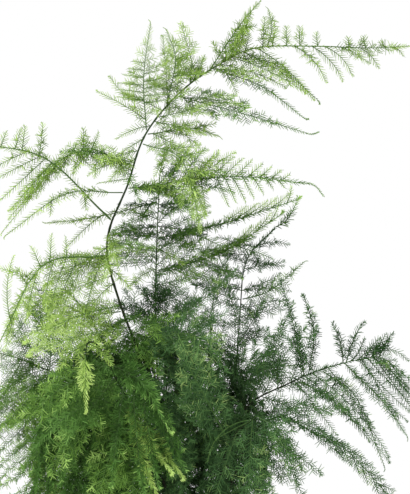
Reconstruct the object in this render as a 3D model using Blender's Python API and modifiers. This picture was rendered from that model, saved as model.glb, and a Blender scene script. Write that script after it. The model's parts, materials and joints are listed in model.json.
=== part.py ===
"""Potted asparagus fern (lace fern) in a plain clay pot.

Run it with blender --background --python part.py, or from Blender's text editor.
Units are metres, +Z is up, and the origin is the middle of the pot's flat underside.
Wiry canes are planted in the soil. Each cane ends in a leader spray and carries side sprays,
and each spray is a thin curved blade: the outline that its twigs and needles fill.
"""

import math

import bmesh
import bpy
from mathutils import Vector

MM = 0.001
GAP = 0.3 * MM  # clearance between neighbours that touch
MERGE = 0.00005

# Pot
POT_HEIGHT = 130 * MM
RIM_RADIUS = 75 * MM
RIM_BAND = 28 * MM
RIM_STEP = 4 * MM
BASE_RADIUS = 50 * MM
WALL = 6 * MM
FLOOR = 8 * MM
EDGE_ROUND = 1.5 * MM
POT_SIDES = 48
DRAIN_HOLES = 3
DRAIN_RADIUS = 6 * MM
DRAIN_CIRCLE = 26 * MM

# Soil
SOIL_EDGE = 109 * MM  # height of the soil where it meets the wall
SOIL_CROWN = 114 * MM  # height of its middle
SOIL_CROWN_RADIUS = 34 * MM

# Canes
PLANTED = 14 * MM  # how deep a cane is set in the soil
CANE_FOOT_RADIUS = 1.5 * MM
CANE_TIP_RADIUS = 0.6 * MM
CANE_STEPS = 3  # straight pieces between two of a cane's points

# Sprays
BLADE_THICK = 0.8 * MM
BLADE_STEM = 0.8 * MM  # half the blade's width at its foot and at its tip
BLADE_ROWS = 8
BLADE_DROOP = 0.2  # how far the blade's edges hang, as a share of its half width

# The green of a spray by its age
SPRAY_GREENS = {
    "young": (0.20, 0.32, 0.08),
    "mature": (0.10, 0.18, 0.05),
    "deep": (0.05, 0.11, 0.04),
}

# Points along each cane, in millimetres, from the soil up.
CANES = {
    "tall_cane": [
        (4, -8, 114), (-6, -22, 208), (-25, -34, 272), (-52, -44, 336), (-68, -46, 400), (-50, -40, 453),
        (-35, -33, 497), (-6, -22, 534), (29, -8, 561), (66, 2, 578), (131, 12, 580),
    ],
    "straight_cane": [
        (-8, 10, 114), (-17, 15, 190), (-24, 18, 262), (-27, 20, 334), (-26, 20, 396), (-23, 18, 465),
    ],
    "right_upper_cane": [
        (16, 14, 114), (33, 25, 190), (44, 32, 262), (50, 32, 336), (56, 28, 386), (82, 22, 416),
    ],
    "right_cane": [
        (18, -4, 114), (30, -12, 190), (52, -18, 252), (92, -24, 277), (122, -28, 290), (150, -30, 298),
    ],
    "right_low_cane": [
        (22, -14, 114), (38, -38, 180), (60, -58, 236), (84, -68, 251), (108, -72, 240),
    ],
    "left_cane": [
        (-14, 2, 114), (-32, 8, 190), (-72, 14, 252), (-112, 18, 280), (-155, 22, 298),
    ],
    "front_cane": [
        (-2, -20, 114), (-20, -55, 200), (-50, -90, 270),
        (-70, -112, 312), (-80, -122, 318), (-82, -126, 308),
    ],
    "front_right_cane": [
        (12, -20, 114), (25, -55, 185), (42, -85, 235), (62, -100, 254),
    ],
    "back_cane": [
        (8, 20, 114), (16, 55, 200), (22, 85, 275), (24, 102, 335),
    ],
    "back_left_cane": [
        (-12, 18, 114), (-32, 50, 200), (-62, 75, 275), (-90, 88, 330), (-112, 92, 356),
    ],
}

# Each spray: its name, its cane, how far along the cane it springs (0 to 1), the middle and the
# tip of its blade in millimetres, its half width in millimetres, how many degrees its upper face
# leans from level towards the front (less than 0: towards the back), and its age.
SPRAYS = [
    ("tall_leader", "tall_cane", 1.0, (175, 16, 580), (204, 18, 581), 11, 60, "young"),
    ("crest_left_spray", "tall_cane", 0.68, (-36, -42, 547), (-30, -40, 595), 17, 85, "young"),
    ("crest_middle_spray", "tall_cane", 0.728, (-8, -36, 563), (-16, -34, 590), 11, 85, "young"),
    ("crest_plume", "tall_cane", 0.815, (48, -18, 595), (68, -14, 619), 11, 80, "young"),
    ("crest_right_spray", "tall_cane", 0.908, (79, 22, 598), (76, 24, 615), 7, 80, "young"),
    ("arch_low_spray", "tall_cane", 0.75, (49, -30, 518), (111, -34, 498), 12, 55, "mature"),
    ("arch_middle_spray", "tall_cane", 0.82, (69, -14, 542), (107, -16, 513), 9, 55, "mature"),
    ("arch_high_spray", "tall_cane", 0.857, (82, 2, 563), (120, 0, 530), 9, 55, "mature"),
    ("shoulder_right_spray", "tall_cane", 0.677, (5, -18, 505), (31, -12, 497), 11, 50, "young"),
    ("shoulder_hanging_spray", "tall_cane", 0.66, (-2, -52, 474), (15, -60, 413), 8, 70, "young"),
    ("shoulder_left_spray", "tall_cane", 0.626, (-99, -20, 485), (-165, 6, 412), 16, 50, "young"),
    ("middle_left_spray", "tall_cane", 0.584, (-102, -78, 445), (-152, -96, 408), 12, 50, "young"),
    ("broad_left_spray", "tall_cane", 0.542, (-119, -60, 476), (-177, -66, 488), 20, 50, "young"),
    ("long_right_spray", "tall_cane", 0.593, (42, -40, 462), (113, -44, 453), 20, 45, "mature"),
    ("low_left_spray", "tall_cane", 0.491, (-123, -66, 383), (-160, -76, 314), 13, 50, "young"),
    ("under_left_spray", "tall_cane", 0.41, (-100, -52, 338), (-148, -62, 316), 18, 45, "young"),
    ("under_right_spray", "tall_cane", 0.36, (5, -66, 324), (38, -84, 291), 25, 60, "deep"),
    ("straight_left_spray", "straight_cane", 0.93, (-83, 14, 426), (-126, 10, 420), 11, 45, "young"),
    ("straight_high_right_spray", "straight_cane", 0.84, (33, 4, 420), (101, -6, 441), 8, 50, "mature"),
    ("straight_low_right_spray", "straight_cane", 0.76, (33, 16, 394), (87, 14, 428), 9, 50, "mature"),
    ("straight_inner_spray", "straight_cane", 0.62, (14, -6, 351), (46, -20, 379), 20, 55, "deep"),
    ("right_upper_leader", "right_upper_cane", 1.0, (94, 24, 425), (103, 28, 442), 6, 60, "mature"),
    ("right_upper_side_spray", "right_upper_cane", 0.77, (79, 18, 361), (108, 12, 385), 14, 50, "mature"),
    ("right_upper_inner_spray", "right_upper_cane", 0.62, (10, 42, 338), (-26, 52, 362), 22, 55, "deep"),
    ("right_leader", "right_cane", 1.0, (176, -32, 300), (211, -36, 270), 12, 55, "deep"),
    ("right_first_hanging_spray", "right_cane", 0.8, (131, -42, 265), (157, -50, 240), 9, 65, "deep"),
    ("right_second_hanging_spray", "right_cane", 0.89, (152, -30, 265), (177, -30, 203), 9, 65, "deep"),
    ("right_third_hanging_spray", "right_cane", 0.97, (175, -46, 262), (195, -52, 232), 8, 65, "deep"),
    ("right_upright_spray", "right_cane", 0.845, (115, -24, 322), (106, -22, 354), 6, 80, "deep"),
    ("right_inner_spray", "right_cane", 0.62, (78, 2, 304), (97, 10, 345), 21, 55, "deep"),
    ("right_low_leader", "right_low_cane", 1.0, (141, -76, 223), (186, -78, 173), 13, 60, "deep"),
    ("right_low_under_spray", "right_low_cane", 0.72, (86, -60, 216), (108, -64, 172), 22, 60, "deep"),
    ("left_leader", "left_cane", 1.0, (-176, 24, 302), (-195, 28, 282), 13, 50, "young"),
    ("left_rising_spray", "left_cane", 0.5, (-106, 46, 300), (-150, 54, 348), 25, 50, "young"),
    ("left_hanging_spray", "left_cane", 0.66, (-116, -6, 236), (-150, -14, 190), 24, 50, "mature"),
    ("left_low_spray", "left_cane", 0.4, (-92, -24, 190), (-130, -36, 146), 27, 55, "mature"),
    ("front_leader", "front_cane", 1.0, (-82, -130, 288), (-81, -130, 262), 9, 75, "young"),
    ("front_left_spray", "front_cane", 0.68, (-90, -110, 262), (-126, -118, 230), 26, 60, "mature"),
    ("front_bright_spray", "front_cane", 0.84, (-35, -122, 285), (-11, -132, 244), 11, 65, "young"),
    ("front_bottom_spray", "front_cane", 0.5, (-43, -100, 200), (-38, -118, 130), 24, 65, "mature"),
    ("front_right_leader", "front_right_cane", 1.0, (83, -112, 242), (89, -118, 204), 16, 60, "deep"),
    ("front_right_inner_spray", "front_right_cane", 0.8, (16, -98, 276), (-6, -100, 314), 26, 65, "deep"),
    ("front_right_low_spray", "front_right_cane", 0.55, (42, -90, 178), (58, -106, 118), 25, 60, "deep"),
    ("back_leader", "back_cane", 1.0, (30, 118, 372), (44, 142, 392), 25, -60, "deep"),
    ("back_right_spray", "back_cane", 0.62, (66, 96, 292), (118, 112, 256), 30, -35, "deep"),
    ("back_low_spray", "back_cane", 0.45, (26, 112, 218), (36, 146, 146), 30, -55, "deep"),
    ("back_left_leader", "back_left_cane", 1.0, (-138, 96, 346), (-168, 100, 308), 20, -45, "mature"),
    ("back_left_side_spray", "back_left_cane", 0.55, (-84, 112, 236), (-116, 138, 180), 30, -50, "mature"),
]


def make_material(name, colour, roughness):
    material = bpy.data.materials.new(name)
    material.use_nodes = True
    shader = material.node_tree.nodes["Principled BSDF"]
    shader.inputs["Base Color"].default_value = (*colour, 1.0)
    shader.inputs["Roughness"].default_value = roughness
    shader.inputs["Metallic"].default_value = 0.0
    return material


def add_object(name, data, collection, material):
    thing = bpy.data.objects.new(name, data)
    collection.objects.link(thing)
    data.materials.append(material)
    return thing


def add_cutter(name, radius, low, high, centre, collection):
    """An upright cylinder that only cuts."""
    mesh = bpy.data.meshes.new(name)
    bm = bmesh.new()
    bmesh.ops.create_cone(bm, cap_ends=True, segments=16, radius1=radius, radius2=radius, depth=high - low)
    bmesh.ops.translate(bm, verts=bm.verts, vec=(centre[0], centre[1], (low + high) / 2))
    bm.to_mesh(mesh)
    bm.free()
    cutter = bpy.data.objects.new(name, mesh)
    collection.objects.link(cutter)
    cutter.hide_render = True
    cutter.display_type = "WIRE"
    return cutter


def cut(thing, cutter):
    boolean = thing.modifiers.new("cut_" + cutter.name, "BOOLEAN")
    boolean.operation = "DIFFERENCE"
    boolean.object = cutter


def turned(name, profile, collection, material):
    """Turn a closed half section, listed as (radius, height) down its outer side, about Z."""
    mesh = bpy.data.meshes.new(name)
    bm = bmesh.new()
    verts = [bm.verts.new((radius, 0.0, height)) for radius, height in profile]
    for first, second in zip(verts, verts[1:]):
        bm.edges.new((first, second))
    bm.to_mesh(mesh)
    bm.free()
    thing = add_object(name, mesh, collection, material)
    screw = thing.modifiers.new("turn", "SCREW")
    screw.steps = POT_SIDES
    screw.render_steps = POT_SIDES
    screw.use_merge_vertices = True
    screw.merge_threshold = MERGE
    return thing


def pot_outer_radius(height):
    """Radius of the plain tapered wall, without its rim band."""
    return BASE_RADIUS + (RIM_RADIUS - RIM_STEP - BASE_RADIUS) * height / POT_HEIGHT


def make_pot(collection, cutters, material):
    band_low = POT_HEIGHT - RIM_BAND
    wall_top = pot_outer_radius(POT_HEIGHT) - WALL
    profile = [
        (0.0, FLOOR),
        (pot_outer_radius(FLOOR) - WALL, FLOOR),
        (wall_top, POT_HEIGHT - EDGE_ROUND),
        (wall_top + EDGE_ROUND, POT_HEIGHT),
        (RIM_RADIUS - EDGE_ROUND, POT_HEIGHT),
        (RIM_RADIUS, POT_HEIGHT - EDGE_ROUND),
        (RIM_RADIUS - EDGE_ROUND, band_low),
        (pot_outer_radius(band_low), band_low - EDGE_ROUND),
        (BASE_RADIUS, EDGE_ROUND),
        (BASE_RADIUS - EDGE_ROUND, 0.0),
        (0.0, 0.0),
    ]
    pot = turned("pot", profile, collection, material)
    for index in range(DRAIN_HOLES):
        angle = math.tau * index / DRAIN_HOLES
        centre = (DRAIN_CIRCLE * math.cos(angle), DRAIN_CIRCLE * math.sin(angle))
        name = f"drain_cutter_{index + 1}"
        cut(pot, add_cutter(name, DRAIN_RADIUS, -FLOOR, 2 * FLOOR, centre, cutters))
    return pot


def make_soil(collection, cutters, material):
    """The soil fills the pot up to a low crown, with a socket for each cane."""
    low = FLOOR + GAP
    foot = pot_outer_radius(FLOOR) - WALL - GAP
    edge = pot_outer_radius(SOIL_EDGE) - WALL - GAP
    profile = [
        (0.0, SOIL_CROWN),
        (SOIL_CROWN_RADIUS, SOIL_CROWN),
        (edge, SOIL_EDGE),
        (foot, low),
        (0.0, low),
    ]
    soil = turned("soil", profile, collection, material)
    for name, points in CANES.items():
        centre = (points[0][0] * MM, points[0][1] * MM)
        socket_low = SOIL_CROWN - PLANTED - GAP
        socket = add_cutter(
            name + "_socket", CANE_FOOT_RADIUS + 1.5 * GAP, socket_low, SOIL_CROWN + PLANTED, centre, cutters
        )
        cut(soil, socket)
    return soil


def smooth_path(points, steps):
    """Points of a Catmull-Rom curve through the given ones, steps to a stretch."""
    ends = [2 * points[0] - points[1], *points, 2 * points[-1] - points[-2]]
    path = []
    for a, b, c, d in zip(ends, ends[1:], ends[2:], ends[3:]):
        for index in range(steps):
            t = index / steps
            bend = 2 * a - 5 * b + 4 * c - d
            twist = 3 * b - a - 3 * c + d
            path.append(0.5 * (2 * b + (c - a) * t + bend * t**2 + twist * t**3))
    path.append(points[-1].copy())
    return path


def cane_path(name):
    """A cane's smooth line, which starts straight down in its socket."""
    points = [Vector(point) * MM for point in CANES[name]]
    foot = points[0] - Vector((0.0, 0.0, PLANTED))
    return [foot, *smooth_path(points, CANE_STEPS)]


def along(path, share):
    """The place and direction at a share of a path's length."""
    lengths = [(b - a).length for a, b in zip(path, path[1:])]
    left = share * sum(lengths)
    index = 0
    while index < len(lengths) - 1 and left > lengths[index]:
        left -= lengths[index]
        index += 1
    start, end = path[index], path[index + 1]
    return start.lerp(end, left / lengths[index]), (end - start).normalized()


def cane_radius(share):
    return CANE_FOOT_RADIUS + (CANE_TIP_RADIUS - CANE_FOOT_RADIUS) * share


def make_cane(name, collection, material):
    path = cane_path(name)
    curve = bpy.data.curves.new(name, "CURVE")
    curve.dimensions = "3D"
    curve.bevel_depth = CANE_FOOT_RADIUS
    curve.bevel_resolution = 2
    curve.use_fill_caps = True
    spline = curve.splines.new("POLY")
    spline.points.add(len(path) - 1)
    for index, (point, place) in enumerate(zip(spline.points, path)):
        point.co = (*place, 1.0)
        point.radius = cane_radius(index / (len(path) - 1)) / CANE_FOOT_RADIUS
    return add_object(name, curve, collection, material)


def blade_half_width(share, widest):
    """The outline of a spray: a short stalk, widest a third of the way out, a long taper."""
    return BLADE_STEM + (widest - BLADE_STEM) * math.sin(math.pi * share**0.7)


def make_spray(row, collection):
    name, cane, share, middle, tip, widest, lean, age = row
    middle = Vector(middle) * MM
    tip = Vector(tip) * MM
    widest *= MM
    spring, cane_direction = along(cane_path(cane), share)
    outward = (middle - spring).normalized()
    if share < 1.0:
        outward = (outward - outward.project(cane_direction)).normalized()
        foot = spring + outward * (cane_radius(share) + GAP + BLADE_STEM / 2)
    else:
        foot = spring + cane_direction * (GAP + BLADE_STEM / 2)
    steps = BLADE_ROWS // 2
    path = smooth_path([foot, middle, tip], steps)
    upper = Vector((0.0, -math.sin(math.radians(lean)), math.cos(math.radians(lean))))

    mesh = bpy.data.meshes.new(name)
    bm = bmesh.new()
    bmesh.ops.create_grid(bm, x_segments=2, y_segments=BLADE_ROWS, size=1.0)
    for vert in bm.verts:
        across = vert.co.x
        row_index = round((vert.co.y + 1.0) / 2.0 * BLADE_ROWS)
        before = path[max(row_index - 1, 0)]
        after = path[min(row_index + 1, BLADE_ROWS)]
        direction = (after - before).normalized()
        side = direction.cross(upper).normalized()
        normal = side.cross(direction)
        half = blade_half_width(row_index / BLADE_ROWS, widest)
        vert.co = path[row_index] + side * half * across - normal * half * BLADE_DROOP * across**2
    bm.to_mesh(mesh)
    bm.free()
    mesh.shade_smooth()
    blade = add_object(name, mesh, collection, make_material(f"{name}_{age}_green", SPRAY_GREENS[age], 0.55))
    solid = blade.modifiers.new("thickness", "SOLIDIFY")
    solid.thickness = BLADE_THICK
    solid.offset = 0.0
    return blade


def main():
    for thing in list(bpy.data.objects):
        bpy.data.objects.remove(thing)
    fern = bpy.data.collections.new("potted_asparagus_fern")
    cutters = bpy.data.collections.new("cutters")
    for collection in (fern, cutters):
        bpy.context.scene.collection.children.link(collection)

    make_pot(fern, cutters, make_material("terracotta", (0.42, 0.16, 0.08), 0.85))
    make_soil(fern, cutters, make_material("potting_soil", (0.035, 0.022, 0.014), 0.95))
    for name in CANES:
        make_cane(name, fern, make_material(name + "_bark", (0.045, 0.06, 0.02), 0.5))
    for row in SPRAYS:
        make_spray(row, fern)


main()
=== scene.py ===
# %% [markdown]
# # A potted lace fern
# Asparagus setaceus is grown for its lace: wiry canes that arch out of the pot and carry flat sprays,
# each one a midrib with alternate twigs, and on every twig dozens of green needles.
# The needles aren't leaves but tiny flattened stems, four to seven millimetres long.
# The frame already holds each cane as a tube and each spray as a thin curved blade. This lesson keeps
# those places and sizes and grows the fine plant on them.

# %% Load the frame and note its size
import json
import math

import bmesh
import bpy
import numpy as np
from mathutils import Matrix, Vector, noise
from mathutils.bvhtree import BVHTree


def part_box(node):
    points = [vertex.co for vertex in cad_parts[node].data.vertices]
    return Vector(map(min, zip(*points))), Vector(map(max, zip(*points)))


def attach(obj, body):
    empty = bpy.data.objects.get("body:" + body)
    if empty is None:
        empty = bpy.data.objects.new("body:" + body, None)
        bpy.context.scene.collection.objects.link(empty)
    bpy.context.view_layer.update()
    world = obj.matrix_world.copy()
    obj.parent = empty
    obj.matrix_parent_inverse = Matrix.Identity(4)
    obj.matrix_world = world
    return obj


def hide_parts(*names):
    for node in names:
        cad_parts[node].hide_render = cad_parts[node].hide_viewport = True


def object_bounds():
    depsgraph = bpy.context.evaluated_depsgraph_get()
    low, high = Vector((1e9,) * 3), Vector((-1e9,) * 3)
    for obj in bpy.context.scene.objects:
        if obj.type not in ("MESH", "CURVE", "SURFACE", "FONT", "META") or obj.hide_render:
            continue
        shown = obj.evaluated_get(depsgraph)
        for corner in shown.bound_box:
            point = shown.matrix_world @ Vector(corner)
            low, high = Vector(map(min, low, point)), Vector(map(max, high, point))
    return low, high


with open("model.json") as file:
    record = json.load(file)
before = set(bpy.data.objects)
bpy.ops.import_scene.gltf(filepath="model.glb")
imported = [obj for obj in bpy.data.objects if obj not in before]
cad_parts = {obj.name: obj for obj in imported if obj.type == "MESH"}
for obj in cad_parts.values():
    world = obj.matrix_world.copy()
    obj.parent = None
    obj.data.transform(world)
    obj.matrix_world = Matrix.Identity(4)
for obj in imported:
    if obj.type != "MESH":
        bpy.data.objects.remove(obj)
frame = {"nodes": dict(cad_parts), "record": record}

cad_low, cad_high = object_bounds()
MM = 0.001
slot_of = {row["node"]: row["material_slot"] for row in frame["record"]["subparts"]}
CANES = [name for name in sorted(frame["nodes"]) if slot_of[name] == "cane_bark"]
SPRAYS = [name for name in sorted(frame["nodes"]) if slot_of[name].endswith("_sprays")]
print(f"{len(CANES)} canes, {len(SPRAYS)} sprays, {cad_high.z:.3f} m high")

# %% [markdown]
# ## The camera and the studio
# The plant is seen level and from well back, with a long lens, so that near and far sprays keep their
# true sizes. The view ends just above the highest needle, and the pot stays below it.
# A fern is half air, so its look comes from light that reaches every needle from all round: a white
# world does that, one big soft lamp from the upper left models the form, and two weaker ones fill.

# %% Camera
VIEW_HEIGHT = 444.6 * MM  # at the pot's axis
VIEW_AIR = 1 * MM  # above the highest point
EYE_DISTANCE = 1800 * MM
EYE_SIDE = 18 * MM
SENSOR = 36.0


def add_object(name, data):
    """An object at the origin, linked to the scene."""
    thing = bpy.data.objects.new(name, data)
    bpy.context.scene.collection.objects.link(thing)
    return thing


camera = add_object("camera", bpy.data.cameras.new("camera"))
camera.data.sensor_width = SENSOR
camera.data.lens = SENSOR * EYE_DISTANCE / VIEW_HEIGHT
camera.location = (EYE_SIDE, -EYE_DISTANCE, cad_high.z + VIEW_AIR - VIEW_HEIGHT / 2)
camera.rotation_euler = (math.pi / 2, 0, 0)
bpy.context.scene.camera = camera
print(f"a {camera.data.lens:.0f} mm lens, {camera.location.z:.3f} m above the floor")

# %% Lamps and world
PLANT_MIDDLE = Vector((0, 0, (cad_low.z + cad_high.z) / 2))
WORLD_LIGHT = 0.72  # on the plant; the camera sees the white world at full strength


def soft_lamp(name, place, width, power):
    """A square lamp that points at the plant and stays out of the view."""
    lamp = add_object(name, bpy.data.lights.new(name, "AREA"))
    lamp.data.size = width
    lamp.data.energy = power
    lamp.location = place
    lamp.rotation_euler = (PLANT_MIDDLE - lamp.location).to_track_quat("-Z", "Y").to_euler()
    lamp.visible_camera = False


soft_lamp("key_lamp", (-1.3, -1.5, 1.9), 1.2, 52)
soft_lamp("fill_lamp", (1.8, -1.0, 0.9), 1.5, 8)
soft_lamp("back_lamp", (0.4, 1.8, 1.5), 1.2, 14)
world = bpy.data.worlds.new("white_studio")
world.use_nodes = True
backdrop = world.node_tree.nodes["Background"]
backdrop.inputs["Color"].default_value = (1, 1, 1, 1)
seen = world.node_tree.nodes.new("ShaderNodeLightPath").outputs["Is Camera Ray"]
glow = world.node_tree.nodes.new("ShaderNodeMapRange")
glow.inputs["To Min"].default_value = WORLD_LIGHT
world.node_tree.links.new(seen, glow.inputs["Value"])
world.node_tree.links.new(glow.outputs["Result"], backdrop.inputs["Strength"])
bpy.context.scene.world = world
bpy.context.scene.view_settings.view_transform = "Standard"
print(f"{len(bpy.data.lights)} lamps and a white world")

# %% [markdown]
# ## Colours and nodes
# Colours are picked as sRGB hex values, as a paint chart gives them. Shaders work with linear light,
# so one function turns them. A second one adds a node with its settings and links and gives back the
# output that is wanted, so that a material reads as a short list.

# %% Helpers for materials
def linear(hex_colour):
    """sRGB hex to the linear colour that shaders use."""
    channels = [int(hex_colour[i:i + 2], 16) / 255 for i in (1, 3, 5)]
    return (*[c / 12.92 if c <= 0.04045 else ((c + 0.055) / 1.055) ** 2.4 for c in channels], 1.0)


def add_node(tree, kind, output, settings=(), inputs=(), links=(), stops=()):
    """Add a node: its properties, its inputs' values, (input, source) links and a ramp's colour stops."""
    node = tree.nodes.new(kind)
    for name, value in dict(settings).items():
        setattr(node, name, value)
    for name, value in dict(inputs).items():
        node.inputs[name].default_value = value
    for name, source in dict(links).items():
        tree.links.new(source, node.inputs[name])
    if stops:
        elements = node.color_ramp.elements
        while len(elements) < len(stops):
            elements.new(0.5)
        for element, (position, colour) in zip(elements, stops):
            element.position = position
            element.color = linear(colour)
    return node.outputs[output]


def new_material(name, roughness, specular):
    """A material with a Principled shader, its tree, its shader and its Object coordinates."""
    material = bpy.data.materials.new(name)
    material.use_nodes = True
    tree = material.node_tree
    shader = tree.nodes["Principled BSDF"]
    shader.inputs["Roughness"].default_value = roughness
    shader.inputs["Specular IOR Level"].default_value = specular
    return material, tree, shader, add_node(tree, "ShaderNodeTexCoord", "Object")


# %% [markdown]
# ## Needle green and twig green
# A needle is a waxy living stem: dark and bluish when old, yellow-green when young, always a little
# lighter at the tip of its twig. Each needle is therefore given a number, youth, when it is made, and
# the material turns that number into a colour. A slow noise over the plant, with patches some 40 mm
# across, keeps neighbouring twigs from matching, and the wax gives a soft sheen. Midribs and twigs are
# wiry and smooth. They lighten with the same number.

# %% The greens from old to young
GREENS = {
    "young_sprays": [(0.0, "#4a6428"), (0.4, "#6b8a3b"), (0.75, "#99b85a"), (1.0, "#bed97f")],
    "mature_sprays": [(0.0, "#233f11"), (0.4, "#406424"), (0.75, "#6d943f"), (1.0, "#a7cb6c")],
    "deep_sprays": [(0.0, "#20381a"), (0.4, "#34542d"), (0.75, "#567c46"), (1.0, "#8fa862")],
    "dome": [(0.0, "#213a13"), (0.4, "#3b6123"), (0.75, "#638e42"), (1.0, "#a4c86c")],
}
TWIG_GREENS = [(0.0, "#2b3f1c"), (0.3, "#46662e"), (0.7, "#6e934a"), (1.0, "#a8bf74")]
PATCH = 40 * MM, 40 * MM, 40 * MM  # across, deep and high


def living_skin(name, roughness, specular, stops, shift=0.0, patch=PATCH, detail=2.0):
    """A skin coloured by youth. A noise with patches of a size moves the youth by as much as shift."""
    material, tree, shader, place = new_material(name, roughness, specular)
    youth, noise = add_node(tree, "ShaderNodeAttribute", "Fac", {"attribute_name": "youth"}), None
    if shift:
        scale = {"Scale": [1 / size for size in patch]}
        scaled = add_node(tree, "ShaderNodeMapping", "Vector", inputs=scale, links={"Vector": place})
        fine = {"Scale": 1.0, "Detail": detail}
        noise = add_node(tree, "ShaderNodeTexNoise", "Fac", inputs=fine, links={"Vector": scaled})
        ends = {"To Min": -shift, "To Max": shift}
        moved = add_node(tree, "ShaderNodeMapRange", "Result", inputs=ends, links={"Value": noise})
        add = {"operation": "ADD", "use_clamp": True}
        youth = add_node(tree, "ShaderNodeMath", "Value", add, links={0: youth, 1: moved})
    green = add_node(tree, "ShaderNodeValToRGB", "Color", links={"Fac": youth}, stops=stops)
    tree.links.new(green, shader.inputs["Base Color"])
    return material, tree, shader, noise


NEEDLE_GREEN = {
    key: living_skin("needle_green_" + key, 0.6, 0.12, stops, 0.22)[0] for key, stops in GREENS.items()
}
TWIG_GREEN = living_skin("twig_green", 0.6, 0.2, TWIG_GREENS)[0]
print(f"{len(NEEDLE_GREEN)} needle greens and a twig green")

# %% [markdown]
# ## Reading the frame's canes and sprays
# Both shapes are rows of points one after another: a cane is a tube of rings, a spray is a blade of
# rows that leave its foot. Starting from the first row and stepping along the edges gives every row in
# its order, so the centre line, the width and the lie of each spray come straight from the frame.

# %% Rows of a CAD solid
CANE_FOOT = 1.5 * MM  # a cane's radius at the soil
RING_REACH = 2.3  # how far a ring's points lie from one another, in radii, at most
FOOT_REACH = 2.2 * MM  # how far the first row of a spray reaches from its foot


def welded(node):
    """A CAD node's mesh as a bmesh, its loose triangles joined."""
    bm = bmesh.new()
    bm.from_mesh(frame["nodes"][node].data)
    bmesh.ops.remove_doubles(bm, verts=bm.verts, dist=0.02 * MM)
    return bm


def arrays(bm):
    """A bmesh's points and triangles. The bmesh is freed."""
    bm.verts.index_update()
    points = np.array([vert.co for vert in bm.verts])
    faces = np.array([[vert.index for vert in face.verts] for face in bm.faces])
    bm.free()
    return points, faces


def rows_of(bm, first):
    """The mesh's points row by row, from the first row on."""
    rows, seen = [list(first)], set(first)
    while rows[-1]:
        reached = {edge.other_vert(vert) for vert in rows[-1] for edge in vert.link_edges} - seen
        seen |= reached
        rows.append(sorted(reached, key=lambda vert: vert.index))
    return [np.array([vert.co for vert in row]) for row in rows[:-1]]


def unit(vectors):
    return vectors / np.maximum(np.linalg.norm(vectors, axis=-1, keepdims=True), 1e-12)


def way_along(line):
    """The length of a line of points."""
    return np.linalg.norm(np.diff(line, axis=-2), axis=-1).sum(axis=-1)


def smooth(rows, count):
    """count values along a Catmull-Rom curve through the rows."""
    ends = np.vstack([2 * rows[:1] - rows[1:2], rows, 2 * rows[-1:] - rows[-2:-1]])
    place = np.linspace(0, len(rows) - 1, count)
    index = np.minimum(place.astype(int), len(rows) - 2)
    t = (place - index)[:, None]
    a, b, c, d = (ends[index + step] for step in range(4))
    return 0.5 * (2 * b + (c - a) * t + (2 * a - 5 * b + 4 * c - d) * t**2 + (3 * b - a - 3 * c + d) * t**3)


def merged(parts):
    """Several sets of points, triangles and youths as one."""
    points, faces, youth = zip(*parts)
    starts = np.cumsum([0] + [len(part) for part in points])
    faces = np.vstack([part + start for part, start in zip(faces, starts)])
    return np.vstack(points), faces, np.concatenate(youth)


def cane_line(node):
    """A cane's centre line and its thickness along it, ring by ring from the soil up."""
    rest = arrays(welded(node))[0]
    centres, radii = [rest[rest[:, 2].argmin()]], [CANE_FOOT]
    while len(rest):
        nearest = rest[np.linalg.norm(rest - centres[-1], axis=1).argmin()]
        near = np.linalg.norm(rest - nearest, axis=1) < RING_REACH * radii[-1]
        ring, rest = rest[near], rest[~near]
        centres.append(ring.mean(axis=0))
        radii.append(np.linalg.norm(ring - centres[-1], axis=1).mean())
    return np.array(centres[1:]), np.array(radii[1:])


cane_lines = {node: cane_line(node) for node in CANES}
cane_solids = [arrays(welded(node)) for node in CANES]
points, faces, _ = merged([(points, faces, np.zeros(len(points))) for points, faces in cane_solids])
cane_tree = BVHTree.FromPolygons(points.tolist(), faces.tolist())


def spray_rows(node):
    """A spray's centre line, half widths and upper side, from its foot to its tip."""
    bm = welded(node)
    foot = min(bm.verts, key=lambda vert: cane_tree.find_nearest(vert.co)[3]).co.copy()
    rows = rows_of(bm, [vert for vert in bm.verts if (vert.co - foot).length < FOOT_REACH])
    bm.free()
    centres = np.array([row.mean(axis=0) for row in rows])
    sides = np.array([np.linalg.svd(row - row.mean(axis=0))[2][0] for row in rows])
    for index in range(1, len(sides)):
        if sides[index] @ sides[index - 1] < 0:
            sides[index] *= -1
    halves = np.array([np.ptp(row @ side) / 2 for row, side in zip(rows, sides)])
    normals = unit(np.cross(sides, np.gradient(centres, axis=0)))
    if normals[:, 2].sum() < 0:
        normals = -normals
    return centres, halves, normals


blades = {node: spray_rows(node) for node in SPRAYS}
row_counts = sorted({len(centres) for centres, _, _ in blades.values()})
longest = max(len(radii) for _, radii in cane_lines.values())
print(f"blades of {row_counts} rows, canes of up to {longest} rings")

# %% [markdown]
# ## A needle and a twig
# Both shapes repeat by the ten thousand, so each is a tiny mesh made once: a needle is a three-sided
# cone, and a twig is a three-sided tube cut into steps. Numpy then bends a copy of the template along
# every twig's line, each ring of the tube on a point of the line. That is far quicker than one object
# or one operator call for each, and a plume is a single mesh in the end.

# %% Templates and their copies
def template(sides, steps, tip):
    """Points and triangles of a tube or cone of radius 1 that stands on the origin, 1 high."""
    bm = bmesh.new()
    bmesh.ops.create_cone(bm, cap_ends=True, segments=sides, radius1=1.0, radius2=tip, depth=1.0)
    bmesh.ops.translate(bm, verts=bm.verts, vec=(0, 0, 0.5))
    uprights = [edge for edge in bm.edges if abs(edge.verts[0].co.z - edge.verts[1].co.z) > 0.5]
    if steps > 1:
        bmesh.ops.subdivide_edges(bm, edges=uprights, cuts=steps - 1, use_grid_fill=True)
    bmesh.ops.triangulate(bm, faces=bm.faces)
    return arrays(bm)


TWIG_STEPS = 3
NEEDLE = template(3, 1, 0.0)
BLUNT = template(3, 1, 0.45)
TWIG = template(3, TWIG_STEPS, 1.0)
print(f"a needle has {len(NEEDLE[1])} triangles, a twig {len(TWIG[1])}")


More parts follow.
